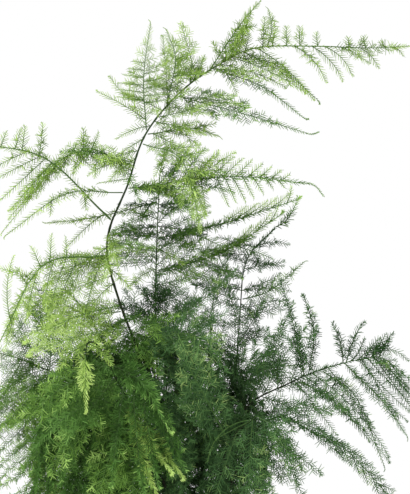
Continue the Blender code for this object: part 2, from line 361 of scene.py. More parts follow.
def bend_copies(shape, lines, radii, youth, towards):
    """A copy of the template along every line: its points, its triangles and each point's youth."""
    points, faces = shape
    ring = np.rint(points[:, 2] * (lines.shape[1] - 1)).astype(int)
    ahead = unit(np.gradient(lines, axis=1))
    across = unit(np.cross(ahead, towards[:, None]))
    over = np.cross(ahead, across)
    spread = points[:, 0, None] * across[:, ring] + points[:, 1, None] * over[:, ring]
    placed = lines[:, ring] + radii[:, ring, None] * spread
    numbered = faces + len(points) * np.arange(len(lines))[:, None, None]
    return placed.reshape(-1, 3), numbered.reshape(-1, 3), youth[:, ring].reshape(-1)


def make_piece(name, parts, materials):
    """One mesh from bent copies. Part number n wears material number n."""
    mesh = bpy.data.meshes.new(name)
    points, faces, youth = merged(parts)
    mesh.from_pydata(points, [], faces)
    mesh.attributes.new("youth", "FLOAT", "POINT").data.foreach_set("value", youth.astype(np.float32))
    for material in materials:
        mesh.materials.append(material)
    finish = np.repeat(np.arange(len(parts)), [len(part[1]) for part in parts])
    mesh.polygons.foreach_set("material_index", finish.astype(np.int32))
    return add_object(name, mesh)


def settle(piece, slot, *nodes):
    """Give a piece to the one body and hide the frame's solids that it stands for. The slot is not used."""
    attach(piece, "root")
    if nodes:
        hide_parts(*nodes)
    return piece


# %% [markdown]
# ## How a plume grows
# The midrib runs from the cane to the plume's tip. Twigs leave it by turns to the left and right, three
# to five millimetres apart, at about 65 degrees near the foot and 50 near the tip, and they reach as
# far as the blade in the frame is wide. A long twig bears small ones in the same way. Every twig is
# then set with needles, left and right by turns, that point forward and close up at its end. Each step
# takes a set of lines and gives a longer one, so the same two functions serve all the levels.

# %% Twigs and needles
FORWARD = 0.16  # how far a twig bends back towards its parent's direction
SAG = 0.05
TIP_FRESH = 0.12  # how much younger a needle's tip is than its foot


def place_on(values, which, share):
    """The values at a share of the way along the chosen lines."""
    place = share * (values.shape[1] - 1)
    index = np.minimum(place.astype(int), values.shape[1] - 2)
    part = (place - index)[:, None]
    return values[which, index] * (1 - part) + values[which, index + 1] * part


def lie_on(lines, normals, which, share):
    """At a share of the way along the chosen lines: the place, ahead, upwards and to the left."""
    ahead = unit(place_on(np.gradient(lines, axis=1), which, share))
    normal = unit(place_on(normals, which, share))
    return place_on(lines, which, share), ahead, normal, unit(np.cross(normal, ahead))


def turned(angle, ahead, aside, normal, tilt):
    """Directions that leave ahead at an angle, towards aside and a little towards the normal."""
    away = np.cos(tilt)[:, None] * aside + np.sin(tilt)[:, None] * normal
    return np.cos(angle)[:, None] * ahead + np.sin(angle)[:, None] * away


def side_twigs(lines, normals, which, share, hand, length, angle, tilt):
    """Twigs that leave the chosen lines, on the left or the right hand, and bend a little forward."""
    foot, ahead, normal, aside = lie_on(lines, normals, which, share)
    out = turned(angle, ahead, aside * hand[:, None], normal, tilt)
    bend = FORWARD * ahead - SAG * np.array((0, 0, 1.0))
    t = np.linspace(0, 1, TWIG_STEPS + 1)[None, :, None]
    twigs = foot[:, None] + length[:, None, None] * (t * out[:, None] + t**2 * bend[:, None])
    return twigs, np.repeat(normal[:, None], TWIG_STEPS + 1, axis=1)


def runs(counts):
    """For each member of many runs: its run, its share of the way, its number, and its hand by turns."""
    which = np.repeat(np.arange(len(counts)), counts)
    order = np.arange(counts.sum()) - np.repeat(np.cumsum(counts) - counts, counts)
    return which, (order + 0.5) / counts[which], order, np.where(order % 2, 1.0, -1.0)


def needles(draw, lines, normals, youth, lengths, habit, start, sizes):
    """Needles along lines, left and right by turns. They point forward, and the last ones are short."""
    last = 1 - np.minimum(habit["clear"] / lengths, 0.3)
    nodes = np.maximum(np.rint(lengths * (last - start) / habit["node"]), 2).astype(int)
    which, _, order, side = runs(nodes * habit["tuft"])
    place = order // habit["tuft"] + 0.25 + 0.5 * (order % 2) + draw.uniform(-0.1, 0.1, len(order))
    step = place / nodes[which]
    share = start + (last[which] - start) * step
    foot, ahead, normal, aside = lie_on(lines, normals, which, share)
    around = np.radians(draw.normal(0, habit["round"], len(share)))
    angle = np.radians(habit["spread"] - 14 * step**2 + draw.normal(0, habit["stray"], len(share)))
    out = turned(angle, ahead, side[:, None] * aside, normal, around)
    long = place_on(sizes[..., None], which, share)[:, 0] * draw.uniform(0.8, 1.1, len(share))
    long *= 1 - 0.5 * step**3
    needle_lines = np.stack([foot, foot + long[:, None] * out], axis=1)
    radii = np.full((len(share), 2), 0.5 * habit["width"])
    fresh = place_on(youth[..., None], which, share)[:, 0] + draw.normal(0, 0.1, len(share))
    fresh = np.stack([fresh, fresh + TIP_FRESH], axis=1)
    return bend_copies(habit["needle"], needle_lines, radii, fresh, draw.normal(0, 1, (len(share), 3)))


# %% [markdown]
# ## The plumes
# Each plume takes its numbers from one table of habits, and most plumes differ from it a little: the
# brushes are round and close, the arching ones taper, the tips in front are bright at their ends. The
# needles are drawn 0.84 mm wide, about twice their real width, because the real ones are too fine to
# show from this far. Where twigs would be too short, the needles stand on the midrib itself.

# %% A plume's habits
HABIT = {
    "gap": 4.2 * MM,      # between a twig on the left and the next on the right
    "open": 66,           # degrees between a twig and the midrib at the foot
    "loose": 8,           # degrees that a twig may leave the plume's plane
    "high": 1.0,          # the upper twigs' reach against the blade's half width
    "low": 1.0,           # and the lower twigs'
    "bare": 0.07,         # the share of the midrib without twigs at its foot
    "tail": 0.12,         # and at its tip
    "node": 2.2 * MM,     # between one set of needles and the next
    "tuft": 2,            # needles in a set
    "size": 6.6 * MM,     # a needle's length
    "width": 0.84 * MM,
    "needle": BLUNT,
    "spread": 52,         # degrees between a needle and its twig
    "stray": 5,           # degrees that a needle may differ from that
    "round": 14,          # degrees that a needle may leave the plume's plane
    "clear": 1.5 * MM,    # the length without needles at a tip
    "even": 0.15,         # the least needle on the midrib against the usual one
    "lead": 4.0 * MM,     # the midrib's bare end, beyond the blade in the frame
    "hook": 0,            # how far that end turns to the right hand; 0 is a random turn
    "taper": 0.5,         # how much broader the plume is towards its foot than the blade
    "youth": (0.3, 0.65),  # at the midrib's foot and at its tip
    "ripe": 1.5,          # how late along the midrib the change comes
    "stout": 1.0,         # the midrib's width against the usual one
}
FEATHER = {
    "gap": 3.0 * MM, "high": 1.0, "low": 1.0, "size": 5.2 * MM, "bare": 0.03, "tail": 0.04, "node": 2.0 * MM,
    "round": 25, "open": 56,
}
BRUSH = {
    **FEATHER, "node": 1.7 * MM, "tuft": 3, "round": 50, "even": 0.85, "lead": 2 * MM, "clear": 0.5 * MM,
    "youth": (0.2, 0.5), "size": 6.0 * MM, "spread": 60,
}
TUBE = {
    "gap": 3.0 * MM, "high": 0.9, "low": 0.8, "tuft": 3, "round": 35, "even": 0.75, "open": 50,
    "youth": (0.25, 0.9), "ripe": 2,
}
ARCHED = {"taper": 1.8, "tail": 0.04, "bare": 0.02, "gap": 3.6 * MM, "even": 0.42}
AIRY = {"high": 0.6, "low": 0.6, "gap": 5.2 * MM}
TIP = {
    "tuft": 4, "round": 45, "even": 0.8, "spread": 34, "gap": 2.6 * MM, "taper": 1.6, "lead": 1.5 * MM,
    "clear": 0.5 * MM, "tail": 0.03,
}
HABITS = {
    "crest_plume": {
        "gap": 1.6 * MM, "loose": 60, "round": 50, "spread": 50, "open": 64, "lead": 6 * MM, "tail": 0.2,
        "bare": 0.0, "taper": 2.6, "high": 0.5, "low": 1.2,
    },
    "crest_left_spray": {"open": 82, "gap": 4.4 * MM, "high": 1.2, "low": 1.2},
    "crest_middle_spray": {"open": 76, "gap": 3.0 * MM, "high": 1.3, "low": 1.3},
    "crest_right_spray": {"high": 1.3, "low": 1.3, "gap": 3.0 * MM},
    "arch_high_spray": ARCHED,
    "arch_middle_spray": {**ARCHED, "high": 0.8, "low": 0.9},
    "arch_low_spray": {**ARCHED, "high": 1.3, "hook": -0.8, "lead": 9 * MM},
    "broad_left_spray": {"bare": 0.42, "high": 0.4, "low": 0.4, "stout": 1.6},
    "shoulder_left_spray": {"high": 0.9, "low": 0.9, "bare": 0.02, "youth": (0.3, 0.9)},
    "shoulder_hanging_spray": {"youth": (0.4, 1.0), "ripe": 2, "high": 1.5, "low": 1.5, "tail": 0.04},
    "middle_left_spray": {"bare": 0.2, "high": 0.6, "low": 0.8},
    "straight_left_spray": {"bare": 0.1, "high": 0.7, "low": 0.8},
    "low_left_spray": {"high": 0.7, "low": 0.8, "gap": 3.2 * MM, "youth": (0.4, 0.9), "stout": 1.7},
    "under_left_spray": {"youth": (0.4, 0.85)},
    "long_right_spray": {"high": 0.6, "low": 0.5, "bare": 0.02, "lead": 18 * MM, "hook": 1.2, "even": 0.5},
    "back_leader": AIRY,
    "straight_inner_spray": AIRY,
    "right_inner_spray": {"high": 0.6, "low": 0.6},
    "right_upright_spray": {**BRUSH, "taper": -0.7, "high": 1.5, "low": 1.5},
    "right_low_leader": {**FEATHER, "taper": -1.8},
    "front_bright_spray": {**TIP, "youth": (0.2, 1.3), "ripe": 3},
    "left_rising_spray": {"youth": (0.2, 0.6)},
    "front_leader": {**TIP, "youth": (0.6, 1.0), "high": 0.8, "low": 0.8},
    "straight_high_right_spray": TUBE,
    "straight_low_right_spray": TUBE,
    "right_upper_leader": TUBE,
    "right_leader": FEATHER,
    "right_first_hanging_spray": FEATHER,
    "right_second_hanging_spray": FEATHER,
    "right_third_hanging_spray": FEATHER,
}
DOME_GREEN = ("front_bright_spray", "left_rising_spray", "left_hanging_spray", "front_left_spray")
print(f"{len(HABITS)} of {len(SPRAYS)} plumes differ from the table")

# %% Midribs and twigs
MIDRIB_STEPS, SHOOT_STEPS = 40, 12
MIDRIB = template(5, MIDRIB_STEPS, 1.0)
SHOOT_RIB = template(4, SHOOT_STEPS, 1.0)
SHORT = 60 * MM  # a shorter midrib is made in fewer steps
TWIG_LEAST = 2.5 * MM  # shorter twigs are left out: needles on the midrib stand for them
NEEDLE_REACH = 3.0 * MM  # how far the needles of a twig stand out past its tip
NEEDLE_RATIO = 0.65  # a plume's half width against the needles that stand on its midrib
STRAIGHT = 7 * MM  # twigs shorter than this are drawn straight
BRANCHED = 13 * MM  # twigs longer than this bear small ones
SMALL_GAP = 4.4 * MM  # between those
SMALL = 3 * MM, 9 * MM  # and their least and greatest length
MIDRIB_YOUTH = 0.6  # the midrib's youth against its needles'


# %% A plume from its blade
def small_twigs(draw, twigs, normals, youth, lengths, loose):
    """The small twigs that the long ones bear: their lines, upper sides, youths and lengths."""
    parents = np.flatnonzero(lengths > BRANCHED)
    run, at, _, hand = runs(np.maximum(np.rint((lengths[parents] - 6 * MM) / SMALL_GAP), 1).astype(int))
    at = 0.15 + 0.6 * at
    parent = parents[run]
    small = np.clip((1 - at) * lengths[parent] * 0.5, *SMALL) * draw.uniform(0.75, 1.1, len(at))
    angle = np.radians(draw.normal(48, 6, len(at)))
    tilt = np.radians(draw.normal(0, 1.4 * loose, len(at)))
    smalls, small_normals = side_twigs(twigs, normals, parent, at, hand, small, angle, tilt)
    fresh = place_on(youth[..., None], parent, at) + 0.2 * np.linspace(0, 1, TWIG_STEPS + 1)
    return smalls, small_normals, fresh, small


def grow_plume(draw, blade, habit):
    """A midrib with its twigs, and all their needles."""
    centres, halves, normals = blade
    end = unit(centres[-1] - centres[-2])
    curl = (habit["hook"] or draw.choice((-0.7, 0.7))) * unit(np.cross(end, normals[-1]))
    centres = np.vstack([centres, centres[-1] + habit["lead"] * unit(end + curl)])
    halves, normals = np.append(halves, 0), np.vstack([normals, normals[-1:]])
    long_rib = way_along(centres) > SHORT
    shape, steps = (MIDRIB, MIDRIB_STEPS + 1) if long_rib else (SHOOT_RIB, SHOOT_STEPS + 1)
    line = smooth(centres, steps)[None]
    normal = unit(smooth(normals, steps))[None]
    half = np.interp(np.linspace(0, 1, steps), np.linspace(0, 1, len(halves)), halves)[None, :, None]
    length = way_along(line)
    share = np.linspace(0, 1, steps)[None]
    first, last = habit["youth"]
    youth = first + (last - first) * share ** habit["ripe"]
    width = (0.55 - 0.36 * share) * MM * habit["stout"]
    woody = [bend_copies(shape, line, width, MIDRIB_YOUTH * youth, normal[:, steps // 2])]

    twiggy = 1 - habit["bare"] - habit["tail"]
    count = np.maximum(np.rint(length * twiggy / habit["gap"]), 1).astype(int)
    which, at, _, hand = runs(count)
    at = habit["bare"] + twiggy * np.clip(at + draw.normal(0, 0.12, len(at)) / len(at), 0, 1)
    upwards = lie_on(line, normal, which, at)[3][:, 2] * hand > 0
    angle = np.radians(habit["open"] - 16 * at + draw.normal(0, 5, len(at)))
    edge = place_on(half, which, at)[:, 0] * np.where(upwards, habit["high"], habit["low"])
    edge *= 1 + habit["taper"] * (0.5 - at)
    long = (edge - NEEDLE_REACH) / np.sin(angle) * draw.uniform(0.75, 1.08, len(at))
    which, at, hand, angle, long = (values[long > TWIG_LEAST] for values in (which, at, hand, angle, long))
    tilt = np.radians(draw.normal(0, habit["loose"], len(at)))
    twigs, twig_normals = side_twigs(line, normal, which, at, hand, long, angle, tilt)
    twig_share = np.linspace(0, 1, TWIG_STEPS + 1)[None]
    twig_foot_youth = place_on(youth[..., None], which, at) + draw.normal(0, 0.12, (len(at), 1))
    twig_youth = twig_foot_youth + 0.25 * twig_share
    twig_width = (0.27 - 0.17 * twig_share) * MM * np.clip(long / (12 * MM), 0.75, 1.2)[:, None]
    along = np.clip(half[..., 0] / NEEDLE_RATIO, habit["even"] * habit["size"], habit["size"])
    leafy = [
        (line, normal, youth, length, habit["bare"] / 2, along),
        (twigs, twig_normals, twig_youth, long, 0.1, np.full(twig_youth.shape, habit["size"])),
    ]
    for chosen, form, rings in (long > STRAIGHT, TWIG, slice(None)), (long <= STRAIGHT, NEEDLE, (0, -1)):
        rows = (values[chosen][:, rings] for values in (twigs, twig_width, twig_youth))
        woody.append(bend_copies(form, *rows, twig_normals[chosen, 0]))

    smalls = small_twigs(draw, twigs, twig_normals, twig_youth, long, habit["loose"])
    lines, small_normals, small_youth, small = smalls
    radii = np.repeat([[0.2 * MM, 0.05 * MM]], len(small), axis=0)
    woody.append(bend_copies(NEEDLE, lines[:, (0, -1)], radii, small_youth[:, (0, -1)], small_normals[:, 0]))
    leafy.append((*smalls, 0.15, np.full(small_youth.shape, habit["size"])))
    green = [needles(draw, *rows, habit, start, sizes) for *rows, start, sizes in leafy if len(rows[3])]
    return merged(woody), merged(green)


def finish_plumes(name, grown, green, slot, *nodes):
    """One piece from plumes: their wood in twig green and their needles in a green of their own."""
    parts = [merged(part) for part in zip(*grown)]
    piece = settle(make_piece(name, parts, [TWIG_GREEN, NEEDLE_GREEN[green]]), slot, *nodes)
    triangles[piece.name] = len(piece.data.polygons)


# %% Grow every plume
triangles = {}
for number, node in enumerate(SPRAYS):
    habit = {**HABIT, **HABITS.get(node, {})}
    grown = [grow_plume(np.random.default_rng(100 + number), blades[node], habit)]
    green = "dome" if node in DOME_GREEN else slot_of[node]
    finish_plumes(node + "_needles", grown, green, slot_of[node], node)
print(f"{len(triangles)} plumes, {sum(triangles.values())} triangles, the largest {max(triangles.values())}")

# %% [markdown]
# ## Side shoots
# Between the frame's sprays the plant carries many shorter shoots: tufts that stand on the arch, curled
# feathers that hang from it, bare young ones on the left, dark ones that fill the inside low at the
# right, where the darkest greens are painted shade. Each starts from a cane or a midrib of the frame
# and is a curve with a heading, so one row of numbers says it all: the percentage of the parent's way
# at which it starts, its heading, how far it turns on its way, its lean towards the viewer, its length
# and its half width in millimetres.
# Headings are degrees anticlockwise from the right, as seen from the front.

# %% The shoots of each parent
# percent of the way, heading, turn, degrees towards the viewer, length in mm, half width in mm
SHOOTS = {
    ("tall_cane", "young"): [
        (87, -16, -20, 8, 74, 8), (90, -22, -20, 4, 66, 6), (84, -10, -18, -4, 62, 7),
        (90.5, 70, 10, 5, 16, 5), (94, 86, 0, 5, 26, 6), (95.5, 80, 0, 0, 15, 5), (78, 102, 6, 5, 50, 13),
        (65.5, 186, 30, 5, 33, 4), (62.5, 208, 10, 10, 26, 3), (73.5, 14, -10, 15, 20, 5),
        (70, -6, -8, 10, 40, 8), (66.5, -12, -4, 0, 46, 7), (80, 150, 10, 5, 14, 5),
        (97.1, 88, 4, 5, 17, 6), (98, 92, -4, 0, 17, 7), (99.2, 100, -8, 5, 12, 5),
        (93, -30, -26, 8, 70, 5), (97.6, -26, -46, 10, 45, 6), (98.8, -28, -38, -5, 42, 5),
        (99.6, -20, -52, 5, 38, 5), (54.5, 188, 0, 0, 28, 2), (45.5, -62, -30, 20, 32, 8),
        (40, -34, -20, 8, 26, 6), (40.5, 150, 40, 5, 40, 9), (77, 120, 14, 5, 34, 8),
        (67.5, 10, 6, 8, 48, 8), (69, 40, 0, 15, 30, 8), (82, -4, -22, 6, 42, 7), (57.5, 160, 20, 8, 30, 8),
        (56, 150, 20, 8, 34, 9), (60, 190, 20, 8, 34, 8), (58.5, 215, 10, 8, 30, 7),
        (84.5, 58, 4, 5, 44, 8), (86.5, 60, 6, 5, 36, 8), (88.5, 66, 10, 5, 26, 8), (73, 84, 6, 5, 30, 8),
        (77, 60, 10, 5, 24, 6), (70.5, 92, 4, 5, 60, 7), (69, 150, 10, 0, 38, 4), (74.5, 160, 12, 0, 28, 4),
        (80, 172, 14, 0, 30, 4), (76.5, 84, 6, 5, 22, 5), (78.5, 70, 10, 5, 20, 5),
    ],
    ("tall_leader", "young"): [
        (19, 96, 0, 0, 9, 5), (36, 100, 0, 10, 10, 6), (60, 118, 0, 0, 7, 4), (10, -18, -24, 5, 30, 6),
        (30, -26, -42, 0, 25, 5), (72, -15, -50, 0, 13, 3),
    ],
    ("crest_left_spray", "young"): [
        (10, 144, 12, 5, 49, 5), (28, 174, -58, 0, 38, 6), (29, 176, -4, 5, 24, 2.5),
        (36, 172, 4, 5, 24, 2.5), (43, 176, -2, 5, 22, 2.5), (50, 170, 4, 5, 18, 2.5),
        (57, 172, 2, 5, 14, 2.5), (64, 170, 4, 5, 11, 2.5), (26, 6, 4, 5, 26, 2.5), (33, 2, 6, 5, 24, 2.5),
        (40, 8, 2, 5, 20, 2.5), (47, 4, 6, 5, 16, 2.5), (54, 10, 2, 5, 13, 2.5),
    ],
    ("crest_middle_spray", "young"): [
        (30, 10, -8, 5, 28, 7), (15, 158, 10, 5, 20, 6), (50, 30, -10, 5, 18, 6),
    ],
    ("arch_low_spray", "young"): [(8, 6, -4, 5, 42, 5), (20, 2, -8, 5, 34, 4), (3, -44, -20, 10, 20, 5)],
    ("arch_middle_spray", "young"): [(5, 8, -20, 5, 26, 5), (12, -58, -10, 5, 20, 5)],
    ("shoulder_hanging_spray", "young"): [
        (30, 238, 10, 5, 24, 6), (24, 2, 10, 0, 32, 7), (45, 12, 6, 10, 26, 6), (58, -8, -6, 0, 24, 6),
        (66, -58, -16, 5, 34, 5), (62, 250, 14, 5, 30, 5),
    ],
    ("broad_left_spray", "young"): [
        (56, 78, 10, 0, 28, 6), (69, 80, 4, 5, 21, 5), (74.5, 68, 10, 0, 18, 5), (85, 66, 8, 0, 14, 4),
        (55, 206, 4, 10, 42, 5), (51, 224, -2, 5, 54, 5), (46, 230, 0, 15, 56, 6), (65, 203, 6, 0, 34, 5),
    ],
    ("middle_left_spray", "young"): [(34, -84, 4, 5, 16, 5), (62, 262, 8, 0, 12, 3)],
    ("shoulder_left_spray", "young"): [
        (43, 88, 0, 10, 18, 7), (36, 60, 12, 0, 16, 3), (12, 200, 14, 15, 30, 5), (34, 222, 12, 15, 28, 6),
        (28, -50, 14, 10, 20, 4), (40, -60, 20, 10, 22, 4), (50, -48, 10, 15, 24, 4),
        (30, -100, 10, 15, 24, 6), (44, -112, 10, 15, 24, 6), (54, -124, 10, 12, 24, 6),
        (62, 232, 10, 10, 36, 6), (60, 222, 6, 5, 60, 7), (50, 212, 12, 10, 62, 6), (72, 226, 4, 5, 46, 6),
    ],
    ("shoulder_left_spray", "mature"): [(18, -40, -34, 25, 52, 8), (22, 172, 8, 5, 40, 7)],
    ("long_right_spray", "mature"): [
        (2, 2, -2, 5, 42, 7), (4, -14, 6, 5, 40, 6), (26, -8, -8, 5, 44, 6), (16, -40, -10, 5, 36, 6),
        (12, -30, -6, 5, 40, 6), (20, 78, -8, 0, 28, 6), (14, 50, -10, 5, 32, 6), (18, 64, -10, 5, 34, 6),
        (24, 58, -8, 5, 36, 6), (22, 20, -14, 5, 44, 6), (30, 14, -10, 5, 30, 5),
    ],
    ("shoulder_right_spray", "young"): [
        (20, 22, -10, 5, 30, 7), (35, -40, 0, 5, 24, 6), (5, -24, -14, 8, 50, 8), (55, 18, -10, 5, 20, 6),
    ],
    ("under_right_spray", "deep"): [(20, 40, 0, 5, 40, 9), (40, 30, -8, 5, 44, 9), (30, -40, 0, 5, 40, 10)],
    ("straight_high_right_spray", "mature"): [
        (20, 44, -10, 5, 30, 6), (10, -24, -10, 5, 46, 8), (24, -20, -8, 5, 36, 5),
    ],
    ("straight_low_right_spray", "mature"): [
        (15, 54, -10, 5, 36, 8), (12, -14, -10, 5, 50, 9), (30, -16, -8, 5, 44, 7), (32, 60, -14, 5, 26, 5),
        (60, -14, -8, 5, 36, 5), (40, 34, -10, 5, 34, 6), (52, 30, -10, 5, 30, 5), (22, 30, -10, 5, 40, 7),
    ],
    ("long_right_spray", "young"): [
        (70, -55, 0, 5, 11, 2.5), (78, -52, 0, 5, 9, 2), (30, 52, -8, 5, 34, 6), (38, 44, -6, 5, 28, 5),
        (45, 46, -6, 5, 24, 4), (52, 48, -6, 5, 20, 4), (59, 44, -4, 5, 17, 4), (66, 44, -4, 5, 14, 3),
        (73, 42, -4, 5, 12, 3), (80, 40, -4, 5, 9, 3), (34, -78, -8, 10, 30, 4), (42, -66, -4, 10, 27, 3),
        (50, -60, -4, 5, 25, 3), (56, -62, 0, 5, 21, 3), (62, -58, 0, 5, 17, 3), (46, -64, -4, 5, 24, 3),
        (30, 36, -4, 5, 44, 7), (26, 42, -8, 5, 38, 7), (3, 8, 0, 5, 50, 8), (5, -4, 2, 5, 60, 8),
        (8, -14, 6, 5, 50, 8),
    ],
    ("straight_left_spray", "young"): [(45, 218, 12, 5, 44, 4)],
    ("straight_cane", "mature"): [
        (100, 78, 0, 0, 23, 6), (95.5, 24, -22, 0, 32, 8), (97, 212, 46, 0, 27, 7),
        (93.5, 48, -30, 0, 56, 6), (89.5, 12, 4, 5, 50, 7), (92.5, 176, 12, 5, 38, 8),
        (90.5, 168, 18, 10, 40, 8), (84.5, 176, 10, 10, 52, 8), (80, 10, -6, 5, 42, 9),
        (87.5, 18, -34, 10, 34, 8), (79, 26, 0, 5, 40, 7), (94, 150, 40, 5, 32, 7), (95, 196, 14, 5, 44, 8),
        (91, 190, 14, 5, 46, 8), (87, 184, 14, 5, 46, 8), (83, 178, 14, 5, 46, 8), (95, 10, -8, 5, 46, 8),
        (91, 30, -14, 5, 46, 8), (86, 34, -10, 5, 46, 9), (82, 38, -10, 5, 40, 9), (76, 12, 6, 5, 44, 9),
        (72, 40, -10, 5, 40, 10),
    ],
    ("straight_cane", "young"): [
        (87, -26, -8, 10, 28, 6), (86, 168, 18, 12, 56, 8), (81, 196, 34, 8, 30, 8),
    ],
    ("straight_cane", "deep"): [
        (73, 18, -10, 10, 30, 10), (72, 152, -20, 10, 24, 8), (60, 60, -20, 10, 50, 14),
        (62, 120, 10, 10, 50, 14), (64, 90, 0, 5, 46, 14), (58, 40, -20, 14, 60, 14),
        (56, 140, 10, 12, 56, 14), (66, 30, -10, 8, 44, 12), (66, 150, 10, 8, 40, 12),
        (70, 34, -20, 10, 28, 10),
    ],
    ("right_upper_cane", "deep"): [
        (88, 26, -44, 5, 31, 6), (82, -18, 12, 0, 33, 6), (70, 166, -4, 5, 54, 9), (65, 176, -30, 5, 30, 8),
        (74, 158, 20, 0, 34, 7), (80, 150, 10, 5, 26, 7), (78, 12, -4, 5, 36, 7), (86, -60, -20, 5, 20, 5),
        (70, 14, 18, 5, 38, 6), (70, 10, -20, 5, 44, 5), (66, -34, -46, 5, 30, 7), (60, 170, 10, 5, 40, 9),
        (42, 60, -20, 5, 60, 11), (46, 120, 20, 5, 54, 12), (50, 148, 10, 8, 50, 12),
        (54, 160, 14, 5, 46, 11), (42, -10, -20, 10, 60, 12), (64, 20, -14, 8, 44, 9),
        (84, 178, -10, 5, 40, 9), (88, 170, -10, 5, 34, 8), (76, 170, -10, 8, 44, 9),
        (50, 96, -14, 24, 60, 12), (55, 60, 0, 20, 50, 11), (60, 110, -10, 20, 44, 10),
        (62, 10, 10, 10, 50, 10), (67, 165, -10, 8, 50, 10), (71, 186, -20, 5, 44, 10),
        (58, 8, -6, 5, 26, 8), (55, 20, 30, 5, 28, 9), (48, 20, -14, 5, 44, 11), (56, 14, -10, 5, 32, 9),
        (60, 44, -20, 5, 28, 8),
    ],
    ("right_cane", "deep"): [
        (82, 128, 4, 5, 44, 8), (80, -33, -28, 5, 100, 6), (97, -46, 6, 5, 74, 5),
        (72, -30, -24, 10, 108, 6), (55, -14, -40, 20, 90, 7), (50, 80, -20, 5, 66, 11),
        (56, 66, -14, 5, 70, 11), (62, 92, -10, 5, 60, 10), (68, 70, -10, 5, 54, 9), (74, 96, -6, 5, 44, 8),
        (60, 20, -20, 8, 60, 9), (76, -38, -14, 5, 80, 6), (90, -50, -6, 5, 66, 5),
        (52, 4, -24, 15, 70, 11), (56, 110, -20, 10, 50, 11), (64, 120, -30, 8, 54, 10),
        (50, -40, -20, 10, 70, 6), (70, -50, -4, 10, 60, 5),
    ],
    ("right_cane", "brush"): [
        (75.5, 99, 10, 0, 86, 6), (96.5, 92, 26, 0, 36, 6), (97.5, 78, -22, 0, 38, 6),
        (99, 40, 40, 0, 22, 4),
    ],
    ("right_leader", "deep"): [
        (5, 50, -100, 0, 50, 6), (30, 54, 10, 0, 24, 5), (30, 62, 0, 5, 18, 6), (8, -52, 12, 5, 64, 5),
        (22, -48, 4, 5, 56, 5), (45, -50, 6, 5, 40, 5), (35, -46, 0, 5, 50, 5), (60, -54, 0, 5, 34, 4),
        (12, -58, 0, 5, 60, 5), (18, 66, -20, 5, 22, 6), (50, -56, 4, 5, 70, 5), (35, -54, 0, 5, 84, 5),
    ],
    ("right_low_cane", "deep"): [
        (80, -14, -20, 5, 54, 8), (90, -30, -14, 5, 52, 8), (65, 20, -20, 8, 70, 11),
        (75, 40, -30, 8, 60, 7), (60, -40, -10, 5, 50, 11), (70, -66, -6, 10, 60, 11),
    ],
    ("low_left_spray", "fresh"): [
        (2, 246, 36, 5, 145, 9), (10, 215, -30, 8, 30, 5), (30, 92, 0, 0, 18, 3), (44, 84, 4, 5, 24, 4),
        (52, 112, 4, 0, 20, 4), (66, 118, 4, 0, 18, 4), (86, 104, -34, 5, 56, 4), (40, 250, 20, 5, 44, 8),
        (55, 250, 14, 5, 44, 8), (70, 240, 20, 5, 44, 7), (80, 256, 0, 5, 36, 6), (62, 150, 20, 5, 28, 6),
        (30, 246, 20, 8, 60, 10), (20, 240, 16, 8, 70, 11),
    ],
    ("under_left_spray", "fresh"): [
        (35, 150, 10, 5, 36, 8), (50, 142, 6, 8, 36, 7), (62, 136, 8, 5, 34, 7), (75, 124, 10, 5, 30, 6),
        (45, 210, 14, 8, 50, 9), (25, 226, 10, 8, 46, 9),
    ],
    ("tall_cane", "mature"): [
        (43.5, 4, -18, 5, 41, 7), (34, -20, -30, 10, 44, 12), (33, 200, 20, 10, 50, 12),
        (31, 150, 10, 10, 40, 12), (31, 34, -20, 10, 44, 12), (34.5, 170, 20, 5, 34, 10),
        (29, 160, 20, 10, 50, 14), (28, 30, -20, 10, 50, 14), (32, -50, -10, 15, 50, 12),
    ],
    ("left_cane", "mature"): [
        (92, 196, 20, 0, 52, 14), (86, 204, 16, 5, 60, 15), (80, 210, 14, 5, 66, 15),
        (74, 214, 14, 0, 72, 15), (68, 212, 12, 5, 84, 14), (64, 216, 14, 0, 92, 14),
        (95, 170, 30, 5, 40, 12), (98, 235, 20, 5, 50, 12), (88, 235, 20, 5, 60, 14),
        (90, 120, 20, 5, 36, 12), (96, 110, 20, 5, 34, 11), (95, 100, 20, 5, 50, 12),
        (90, 84, 20, 5, 54, 12), (85, 76, 20, 5, 54, 12), (93, 150, 10, 5, 34, 10),
        (84, 190, 30, 10, 60, 12), (78, 196, 30, 12, 66, 13), (70, 190, 30, 14, 76, 13),
        (66, 200, 30, 8, 80, 13), (60, 208, 20, 8, 90, 13), (94, 205, 30, 8, 44, 10),
        (72, 224, 10, 10, 70, 12), (56, 226, 10, 5, 100, 13), (50, 234, 10, 5, 96, 13),
        (62, 222, 14, 5, 100, 12), (66, 228, 10, 12, 90, 12), (68, 216, 6, 10, 110, 12),
        (62, 214, 6, 12, 112, 12), (76, 206, 8, 10, 84, 12), (72, 200, 10, 8, 84, 12),
        (88, 218, 0, 5, 80, 12), (82, 214, 4, 5, 96, 12), (90, 232, 0, 5, 80, 12), (95, 226, 6, 5, 60, 12),
        (78, 222, 4, 5, 100, 12), (52, 205, 6, 5, 120, 12), (45, 200, 10, 5, 125, 12),
    ],
    ("straight_cane", "dark"): [
        (62, 44, -10, 14, 54, 14), (58, 100, 0, 18, 60, 15), (93, 186, 10, 6, 40, 9),
        (90, 172, 12, 6, 44, 9), (93, -10, 8, 6, 40, 9), (90, 4, 0, 6, 44, 9), (96, 176, 10, 5, 30, 8),
        (96, 0, 8, 5, 34, 8), (68, 60, -10, 10, 26, 11), (68, 112, 10, 12, 24, 11), (70, 88, 0, 14, 22, 10),
        (66, 76, -10, 14, 32, 13), (64, 140, 10, 14, 38, 13),
    ],
    ("right_upper_cane", "dark"): [
        (40, 90, 0, 18, 54, 13), (38, 60, -10, 18, 54, 13), (42, 120, 10, 18, 50, 13),
        (36, 30, -20, 18, 60, 13), (46, 84, 0, 20, 50, 12),
    ],
